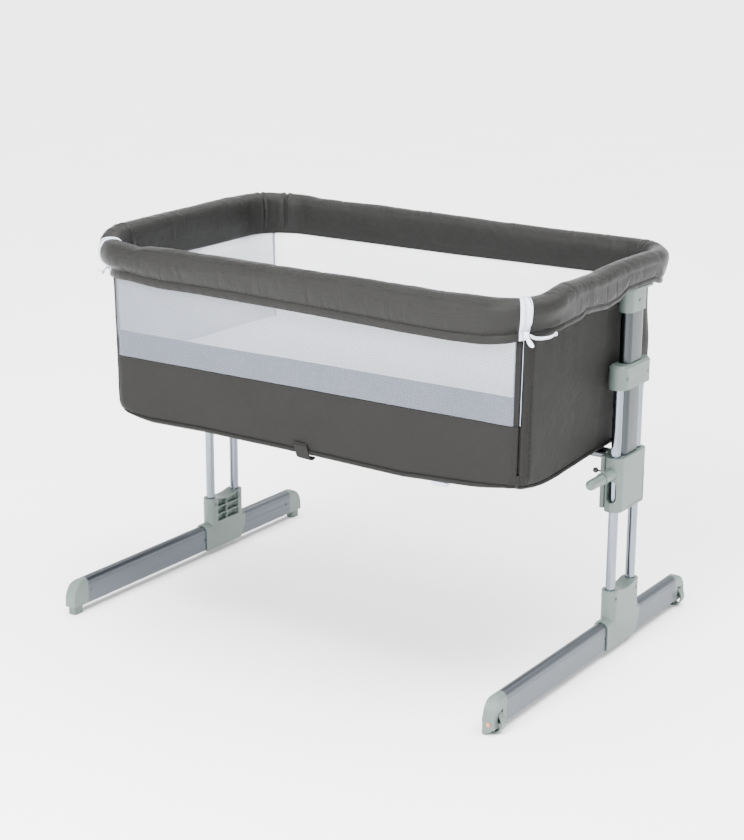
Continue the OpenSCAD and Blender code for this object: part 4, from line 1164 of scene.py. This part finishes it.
def swell(v, s_len, pin, name, frames=14, cap=5.0, pressure=4.0, slack=0.02):
    """The skin of a padded rim, filled by a cloth simulation: pin (n, m) is 1 where it is sewn."""
    n, m = v.shape[:2]
    me = bpy.data.meshes.new(name)
    me.from_pydata((v.reshape(-1, 3) * MM).tolist(), [], [tuple(f) for f in grid(n, m)])
    bm = bmesh.new()
    bm.from_mesh(me)
    bmesh.ops.recalc_face_normals(bm, faces=bm.faces)
    bm.to_mesh(me)
    bm.free()
    o = bpy.data.objects.new(name, me)
    bpy.context.scene.collection.objects.link(o)
    g = o.vertex_groups.new(name="sewn")
    flat = pin.reshape(-1)
    for w in np.unique(np.round(flat, 2)):
        if w > 0:
            g.add(np.nonzero(np.round(flat, 2) == w)[0].tolist(), float(w), "REPLACE")
    c = o.modifiers.new("fill", "CLOTH")
    st = c.settings
    st.quality = 5
    st.mass = 0.25
    st.tension_stiffness = st.compression_stiffness = 12
    st.shear_stiffness = 4
    st.bending_stiffness = 0.25
    st.use_pressure = True
    st.uniform_pressure_force = pressure
    st.shrink_min = -slack
    st.vertex_group_mass = "sewn"
    st.pin_stiffness = 3.0
    st.effector_weights.gravity = 0
    st.air_damping = 2.0
    c.collision_settings.use_collision = False
    sc = bpy.context.scene
    c.point_cache.frame_start, c.point_cache.frame_end = 1, frames
    for k in range(1, frames + 1):
        sc.frame_set(k)
    dg = bpy.context.evaluated_depsgraph_get()
    ev = o.evaluated_get(dg)
    em = ev.to_mesh()
    co = np.zeros(len(em.vertices) * 3)
    em.vertices.foreach_get("co", co)
    ev.to_mesh_clear()
    sc.frame_set(1)
    bpy.data.objects.remove(o, do_unlink=True)
    bpy.data.meshes.remove(me)
    w = co.reshape(n, m, 3) / MM
    if not np.isfinite(w).all():
        return v
    dv = w - v
    ln = np.linalg.norm(dv, axis=-1, keepdims=True)
    return v + dv * (cap * np.tanh(ln / cap) / np.maximum(ln, 1e-6))


def fill_rim(v, s, last_row, name, pins, stitch_row):
    """Fill the visible skin, rows 0 to last_row, sewn along its edges and its cross seams."""
    sub = v[:, : last_row + 1]
    n, m = sub.shape[:2]
    pin = np.zeros((n, m))
    pin[:, : stitch_row + 1] = 1.0
    pin[:, -3:] = 1.0
    pin[:3] = 1.0
    pin[-3:] = 1.0
    for at in pins:
        pin[np.abs(s - at) < 3.2] = 0.9
    out = v.copy()
    new = swell(sub, s, pin, name)
    # a firm filling: the fill keeps its long swells and evens out most of the creases
    move = new - sub
    k = np.exp(-0.5 * (np.arange(-60, 61) * (s[1] - s[0]) / 45.0) ** 2)
    k /= k.sum()
    wide = np.pad(move, ((60, 60), (0, 0), (0, 0)), mode="edge")
    slow = np.stack([[np.convolve(wide[:, j, c], k, "valid") for c in range(3)] for j in range(m)], 0).transpose(2, 0, 1)
    out[:, : last_row + 1] = sub + 0.6 * slow + 0.25 * (move - slow)
    return out


rim_v = fill_rim(rim_v, s_rim, 15 * SUB - 2, "rim_skin", (1338, 1286, 504, 492, 1732), 2 * SUB)
front_v = fill_rim(front_v, s_front, 17 * SUB - 2, "front_skin", (), 3 * SUB)


def refine(v, s, step):
    """The same skin with columns every step mm, by cubic interpolation along the rim."""
    q = np.linspace(s[0], s[-1], int((s[-1] - s[0]) / step) + 1)
    f = (q - s[0]) / (s[1] - s[0])
    k = np.clip(f.astype(int), 0, len(s) - 2)
    t = (f - k)[:, None, None]
    a, b, c, d = (v[np.clip(k + j, 0, len(s) - 1)] for j in (-1, 0, 1, 2))
    return 0.5 * (2 * b + (c - a) * t + (2 * a - 5 * b + 4 * c - d) * t * t + (3 * b - a - 3 * c + d) * t**3), q


def sewn(v, s, seed, outer, row, seams, span):
    """Fine sewing marks on a filled skin: the stitch line with its gathers and the cross seams."""
    n, m = v.shape[:2]
    nr = grid_normals(v, close_m=True)
    c = v[:, outer > 0.5].mean(1)[:, None]
    nr = nr * np.sign(((v[:, outer > 0.5] - c) * nr[:, outer > 0.5]).sum())
    S, T = np.meshgrid(s, np.arange(m), indexing="ij")
    w = S + 3.2 * noise3(np.stack([S / 23.0, 0 * S, 0 * S + seed], -1), seed) + 0.5 * (T - row) * noise3(np.stack([S / 31.0, 0 * S, 0 * S + 2], -1), seed + 1)
    tuck = np.abs(np.sin(math.pi * w / 7.6)) ** 0.55 - 0.72
    on = 0.35 + 0.65 * smooth(noise3(np.stack([S / 70.0, 0 * S, 0 * S + 5], -1), seed + 2), -0.25, 0.3)
    d = -1.25 * np.exp(-(((T - row) / 0.8) ** 2)) + 1.15 * on * tuck * np.exp(-(((T - row - 2.4) / 2.1) ** 2)) + 0.5 * on * tuck * np.exp(-(((T - row + 1.6) / 1.3) ** 2))
    # longer drag folds that start at some of the gathers
    w2 = S + 9.0 * noise3(np.stack([S / 47.0, T / 14.0, 0 * S + 1], -1), seed + 4)
    drag = np.clip(1 - np.abs(np.sin(math.pi * w2 / 31.0)) * 3.2, 0, 1) ** 1.5
    pick = smooth(noise3(np.stack([S / 52.0, 0 * S, 0 * S + 8], -1), seed + 6), 0.0, 0.35)
    d = d - 0.8 * drag * pick * smooth(T, row + 1, row + 4) * (1 - smooth(T, row + 6, row + span))
    d = d * (1 - smooth(T, 14 * SUB, 16 * SUB))
    for at, depth in seams:
        x = S - at
        g = -depth * np.exp(-((x / 1.7) ** 2)) + 0.55 * depth * (np.exp(-(((x - 6.0) / 3.4) ** 2)) + np.exp(-(((x + 6.0) / 3.4) ** 2)))
        rip = 0.35 * np.sin(2 * math.pi * (T + 1.5 * noise3(np.stack([T / 9.0, 0 * S, 0 * S + at / 100.0], -1), 7)) / 5.5) * np.exp(-((np.abs(x) - 4.0) / 3.0) ** 2)
        d = d + g + rip
    d = d * outer[None, :]
    return v + nr * d[..., None]


rim_v, s_rim = refine(rim_v, s_rim, 2.3)
rim_v = sewn(rim_v, s_rim, 205, W_RIM, 2 * SUB, ((1338, 2.4), (1286, 2.4), (504, 2.2), (478, 1.8), (1732, 1.8)), 14)
front_v, s_front = refine(front_v, s_front, 2.3)
front_v = sewn(front_v, s_front, 233, W_FRONT, 3 * SUB, (), 16)


def rim_piece(name, v, body):
    n, m = v.shape[:2]
    return piece(name, v.reshape(-1, 3), tube_faces(n, m), M["rim"].m, body)


basket_rim = rim_piece("basket_rim", rim_v, "basket")
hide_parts("rim_left", "rim_back", "rim_right")
front_rim = rim_piece("front_rim", front_v, "drop_side")
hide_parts("rim_front")


def stitches(name, v, row, s, length, gap, body, lift=0.35, r=0.33, mat="stitch", lo=0.0, hi=None):
    """A row of single stitches lying on a skin, along one row of its points."""
    line = v[:, row]
    nr = grid_normals(v, close_m=True)
    c = v.mean(1)
    sg = np.sign(((line - c) * nr[:, row]).sum())
    nn_ = nr[:, row] * sg
    S = np.concatenate([[0], np.cumsum(np.linalg.norm(np.diff(line, axis=0), axis=1))])
    hi = hi or S[-1] - 4
    verts, faces = [], []
    a = np.arange(6) * 2 * math.pi / 6
    pos = lo + 4
    while pos < hi:
        q = np.linspace(pos, pos + length, 5)
        p = np.stack([np.interp(q, S, line[:, k]) for k in range(3)], -1)
        w = np.stack([np.interp(q, S, nn_[:, k]) for k in range(3)], -1)
        p = p + w * (lift * np.array([-0.6, 0.7, 1, 0.7, -0.6]))[:, None]
        t = np.gradient(p, axis=0)
        t /= np.linalg.norm(t, axis=1, keepdims=True)
        b = np.cross(t, w)
        rr = r * np.array([0.6, 1, 1, 1, 0.6])
        ring_ = p[:, None] + rr[:, None, None] * (w[:, None] * np.cos(a)[None, :, None] + b[:, None] * np.sin(a)[None, :, None])
        faces += tube_faces(5, 6, start=len(verts) * 1)
        verts += ring_.reshape(-1, 3).tolist()
        pos += length + gap
    return piece(name, verts, faces, M[mat].m, body)


stitches("front_rim_stitches", front_v, 3 * SUB, s_front, 3.2, 1.5, "drop_side")
stitches("basket_rim_stitches", rim_v, 2 * SUB, s_rim, 3.2, 1.5, "basket")

# ------------------------------------------------------------------ zips over the rim


def band_on(v, s, s0, s1, rows, lift, n=10):
    """Points on a rim between two path lengths, lifted off its skin."""
    q = np.linspace(s0, s1, n)
    nr = grid_normals(v, close_m=True)
    c = v.mean(1, keepdims=True)
    sg = np.sign(((v[:, rows] - c) * nr[:, rows]).sum())
    A = v[:, rows]
    B = nr[:, rows] * sg
    k = np.clip(np.searchsorted(s, q) - 1, 0, len(s) - 2)
    t = ((q - s[k]) / (s[k + 1] - s[k]))[:, None, None]
    P = A[k] * (1 - t) + A[k + 1] * t
    N = B[k] * (1 - t) + B[k + 1] * t
    N /= np.linalg.norm(N, axis=-1, keepdims=True)
    return P + N * lift, N


rows = np.arange(1, 15 * SUB)
arc_s = math.radians(1) * 70
for side_ in ("right", "left"):
    def S_at(deg):
        """Path length on the front rim for an angle measured as the CAD does."""
        off = (90 + deg) * arc_s
        return 54.6 + 740 + off if side_ == "right" else 54.6 - off

    for body, a0, a1 in (("drop_side", -55.1, -50.9), ("basket", -50.7, -45.3)):
        s0, s1 = sorted((S_at(a0), min(max(S_at(a1), 0.0), FRONT_L)))
        if body == "basket":
            s0, s1 = sorted((S_at(a0), S_at(-45.35)))
        P, N = band_on(front_v, s_front, s0, s1, rows, 1.0)
        if body == "basket":  # its edge reaches over the joint of the two rims
            e0, e1 = (-1, -2) if side_ == "right" else (0, 1)
            st = P[e0] - P[e1]
            st /= np.linalg.norm(st, axis=-1, keepdims=True)
            more = [P[e0] + st * k for k in (1.4, 2.8)]
            P = np.concatenate([P, np.stack(more)]) if side_ == "right" else np.concatenate([np.stack(more[::-1]), P])
            N = np.concatenate([N, N[-1:], N[-1:]]) if side_ == "right" else np.concatenate([N[:1], N[:1], N])
        edge = np.linspace(-1, 1, P.shape[0])[:, None]
        P = P + N * (-0.9 * np.abs(edge) ** 6 + 0.2 * np.sin(np.arange(P.shape[1]) * 0.9)[None] * (edge != 0))[..., None]
        if body == "basket":  # the last part lies on the basket's own rim
            if side_ == "right":
                Q, NQ = band_on(rim_v, s_rim, 0.0, 1.4, np.arange(1, 14 * SUB), 1.0, 4)
            else:
                Q, NQ = band_on(rim_v, s_rim, RIM_L - 1.4, RIM_L - 0.01, np.arange(1, 14 * SUB), 1.0, 4)
            t = slab("zip_tape_edge_" + side_, Q, 0.7, M["tape"].m, "basket", inward=Q.mean((0, 1)) - NQ.mean((0, 1)) * 30)
        c_in = P.mean((0, 1)) - N.mean((0, 1)) * 30
        o = slab("zip_tape_%s_%s" % (body, side_), P, 0.7, M["tape"].m, body, inward=c_in)
        if body == "drop_side":
            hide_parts("zip_tapes")
    # coil down the middle
    P, N = band_on(front_v, s_front, *sorted((S_at(-51.1), S_at(-50.5))), rows, 1.25, 3)
    line = spline(P[1], 6, closed=False)
    nrm = spline(N[1], 6, closed=False)
    step = np.concatenate([[0], np.cumsum(np.linalg.norm(np.diff(line, axis=0), axis=1))])
    q = np.arange(0, step[-1], 0.5)
    line = np.stack([np.interp(q, step, line[:, k]) for k in range(3)], -1)
    nrm = np.stack([np.interp(q, step, nrm[:, k]) for k in range(3)], -1)
    tg = np.gradient(line, axis=0)
    tg /= np.linalg.norm(tg, axis=1, keepdims=True)
    bn = np.cross(tg, nrm)
    a = np.arange(10) * 2 * math.pi / 10
    rad = 1.0 + 0.22 * np.cos(2 * math.pi * q / 2.0)
    V = line[:, None] + rad[:, None, None] * (nrm[:, None] * np.cos(a)[None, :, None] * 0.7 + bn[:, None] * np.sin(a)[None, :, None] * 1.5)
    piece("zip_coil_" + side_, V.reshape(-1, 3), tube_faces(len(q), 10), M["coil_white"].m, "drop_side")


def blocks(name, items, mat, body, bevel=0.35):
    """Rounded small parts: each item is (points of a box's 8 corners)."""
    verts, faces = [], []
    for c in items:
        k = len(verts)
        verts += [list(p) for p in c]
        faces += [[k + i for i in f] for f in ((0, 3, 2, 1), (4, 5, 6, 7), (0, 1, 5, 4), (1, 2, 6, 5), (2, 3, 7, 6), (3, 0, 4, 7))]
    o = piece(name, verts, faces, mat, body)
    b = o.modifiers.new("edge", "BEVEL")
    b.width = bevel * MM
    b.segments = 3
    b.harden_normals = True
    return o


def local_box(org, ax, r0, r1, t0, t1, z0, z1, lean=0.0):
    """Corners of a box in the frame of a zip: radial, tangential, height."""
    rad, tan = ax
    out = []
    for z in (z0, z1):
        for r, t in ((r0, t0), (r1, t0), (r1, t1), (r0, t1)):
            w = lean * (z1 - z)
            out.append([org[0] + rad[0] * r + tan[0] * (t + w), org[1] + rad[1] * r + tan[1] * (t + w), z])
    return out


for side_, sg in (("right", 1), ("left", -1)):
    a_ = math.radians(-49.6)
    rad, tan = (sg * math.cos(a_), math.sin(a_)), (-sg * math.sin(a_), math.cos(a_))
    org = (sg * 370 + rad[0] * 95.4, -174 + rad[1] * 95.4)
    bx_ = lambda *k, **kw: local_box(org, (rad, tan), *k, **kw)
    o = blocks("zip_slider_body_" + side_, [bx_(0.1, 1.0, -3.9, 3.9, 617.2, 627.0), bx_(2.0, 2.9, -3.2, 3.2, 617.4, 626.6), bx_(0.6, 2.4, -0.9, 0.9, 622, 626.4), bx_(2.7, 4.0, -1.1, 1.1, 619, 620.4), bx_(2.7, 4.0, -1.1, 1.1, 623.8, 625.2), bx_(3.6, 4.6, -1.1, 1.1, 619, 625.2)], M["zip_white"].m, "zip_" + side_, 0.3)
    # drop-shaped pull with an eye, cut from a flat plate
    n = 28
    t = np.linspace(0, 2 * math.pi, n, endpoint=False)
    h = 603.0 + 9.2 * (1 - np.cos(t))
    wdt = np.sin(t) * (5.6 - 0.17 * (h - 603.0)) - 0.55 * (h - 620.0)
    hi_ = 617.6 + 1.7 * np.cos(t + math.pi)
    wi = 1.15 * np.sin(t)
    P = []
    for r in (3.9, 5.1):
        for hh, ww in ((h, wdt), (hi_, wi)):
            P += [[org[0] + rad[0] * r + tan[0] * w, org[1] + rad[1] * r + tan[1] * w, z] for z, w in zip(hh, ww)]
    F = []
    for k in range(n):
        k2 = (k + 1) % n
        F += [(k, k2, n + k2, n + k), (2 * n + k, 3 * n + k, 3 * n + k2, 2 * n + k2), (k, 2 * n + k, 2 * n + k2, k2), (n + k, n + k2, 3 * n + k2, 3 * n + k)]
    o2 = piece("zip_pull_" + side_, P, F, M["zip_white"].m, "zip_" + side_)
    b = o2.modifiers.new("edge", "BEVEL")
    b.width, b.segments, b.limit_method, b.angle_limit = 0.3 * MM, 2, "ANGLE", 0.7
    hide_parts("zip_slider_" + side_)
    # free end of the tape, folded back along the hem, with its end ring
    ang = np.radians(np.linspace(-46, -17, 26))
    R_ = 89.2 + 1.2 * np.sin(np.linspace(0, 9, 26))
    zt = np.interp(np.degrees(ang), [-46, -40, -32, -24, -17], [620.0, 615.2, 613.2, 614.0, 617.0])
    path = np.stack([sg * (370 + R_ * np.cos(ang)), -174 + R_ * np.sin(ang), zt], -1)
    sec = np.array([(-0.5, -2.6), (0.5, -2.6), (0.7, 0), (0.5, 2.6), (-0.5, 2.6), (-0.7, 0)])
    tw = np.linspace(0.2, -0.5, 26)
    secs = np.stack([np.stack([sec[:, 0] * math.cos(w) - sec[:, 1] * math.sin(w), sec[:, 0] * math.sin(w) + sec[:, 1] * math.cos(w)], -1) for w in tw])
    sweep_line("zip_tape_tail_" + side_, path, secs, M["tape"].m, "basket")
    e = path[-1]
    rt = np.array([sg * math.cos(ang[-1]), math.sin(ang[-1]), 0])
    tt = np.array([-rt[1], rt[0], 0]) * sg
    b1 = np.arange(20) * 2 * math.pi / 20
    b2 = np.arange(8) * 2 * math.pi / 8
    cen = e + tt * 2.6 + np.array([0, 0, 0.6])
    V = cen + (2.5 + 0.85 * np.cos(b2))[None, :, None] * (tt * np.cos(b1)[:, None, None] + np.array([0, 0, 1.0]) * np.sin(b1)[:, None, None]) + 0.85 * np.sin(b2)[None, :, None] * rt
    piece("zip_tail_ring_" + side_, V.reshape(-1, 3), grid(20, 8, True, True), M["zip_white"].m, "basket")

# ------------------------------------------------------------------ strap tab and hem clip

t = np.linspace(0, 1, 40)
py = np.interp(t, [0, 0.62, 0.74, 0.84, 0.95, 1], [-236.6, -236.0, -234.8, -230.5, -225.0, -224.2])
pz = np.interp(t, [0, 0.62, 0.74, 0.84, 0.95, 1], [375.5, 352.5, 348.6, 347.6, 349.4, 352.5])
xs = np.interp(t, [0, 0.7, 1], [-17, -9.5, -6])
wv = np.linspace(0, 1, 14)
P = np.stack([xs[:, None] + 28.0 * wv[None], py[:, None] + 0 * wv - 0.5 * np.sin(math.pi * wv)[None], pz[:, None] - 1.6 * wv[None]], -1)
P[..., 1] -= 0.35 * noise3(P / 9.0, 141)
tab = slab("strap_tab", P, 1.7, M["webbing"].m, "basket", inward=(0, -200, 420))
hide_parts("strap_loop")
# stitched box on the tab
items = []
for k in range(9):
    x = -17 + 3 * k
    items.append([[x, -237.9, 371.6], [x + 2, -237.9, 371.4], [x + 2, -236.9, 371.4], [x, -236.9, 371.6], [x, -237.9, 372.2], [x + 2, -237.9, 372.0], [x + 2, -236.9, 372.0], [x, -236.9, 372.2]])
blocks("strap_tab_stitches", items, M["stitch"].m, "basket", 0.15)


def pad8(x0, x1, y0, y1, z0, z1):
    return [[x0, y0, z0], [x1, y0, z0], [x1, y1, z0], [x0, y1, z0], [x0, y0, z1], [x1, y0, z1], [x1, y1, z1], [x0, y1, z1]]


blocks("hem_clip", [pad8(253, 283, -226, -216, 347.6, 352.4), pad8(256, 280, -227.2, -220, 345.4, 348.2), pad8(262, 266, -227.6, -219, 344.6, 346), pad8(270, 274, -227.6, -219, 344.6, 346)], M["clip"].m, "basket", 0.9)

# ------------------------------------------------------------------ screws


def screw_mesh(c, axis, r, h=1.6):
    """Pan head with a cross recess; c is the middle of its seat, axis points out."""
    ax = Vector(axis).normalized()
    u_ = ax.orthogonal().normalized()
    w_ = ax.cross(u_)
    nr_, na = 12, 40
    V, F = [], []
    for k in range(nr_ + 1):
        q = r * k / nr_ if k < nr_ else r
        for j in range(na):
            a = 2 * math.pi * j / na
            x, y = q * math.cos(a), q * math.sin(a)
            z = h * (1 - 0.45 * (q / r) ** 3)
            if min(abs(x), abs(y)) < 0.17 * r and max(abs(x), abs(y)) < 0.62 * r:
                z -= 0.75 * h * (1 - (max(abs(x), abs(y)) / (0.7 * r)) ** 2)
            V.append([c[i] + u_[i] * x + w_[i] * y + ax[i] * z for i in range(3)])
    k0 = len(V)
    for j in range(na):
        a = 2 * math.pi * j / na
        V.append([c[i] + u_[i] * r * math.cos(a) + w_[i] * r * math.sin(a) for i in range(3)])
    F = grid(nr_ + 2, na, close_m=True)
    F.append([k0 + j for j in range(na)][::-1])
    return V, F


def screw_set(name, node, body, items, r=2.6):
    V, F = [], []
    for c, ax in items:
        v, f = screw_mesh(c, ax, r)
        F += [[len(V) + i for i in q] for q in f]
        V += v
    o = piece(name, V, F, M["screw"].m, body)
    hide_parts(node)


for side_, sg in (("left", -1), ("right", 1)):
    X = sg * 440
    it = [((X + sg * 13.6, y, 100), (sg, 0, 0)) for y in (57.7, 133)]
    it += [((X + sg * 16.6, y, 491), (sg, 0, 0)) for y in (58.7, 134)]
    it += [((X - sg * 13.6, y, 102), (-sg, 0, 0)) for y in (59.7, 135)]
    it += [((X - sg * 11, y, 36), (-sg, 0, 0)) for y in (-299, 299)]
    screw_set("stand_screw_heads_" + side_, "stand_screws_" + side_, side_ + "_stand", it)
screw_set("basket_screw_heads", "basket_screws", "basket", [((sg * 453.5, 99.35, 618), (sg, 0, 0)) for sg in (-1, 1)])

# ------------------------------------------------------------------ rounding of cloth cut sizes


def cut(w, l):
    return (round(w, 3), round(l, 3))
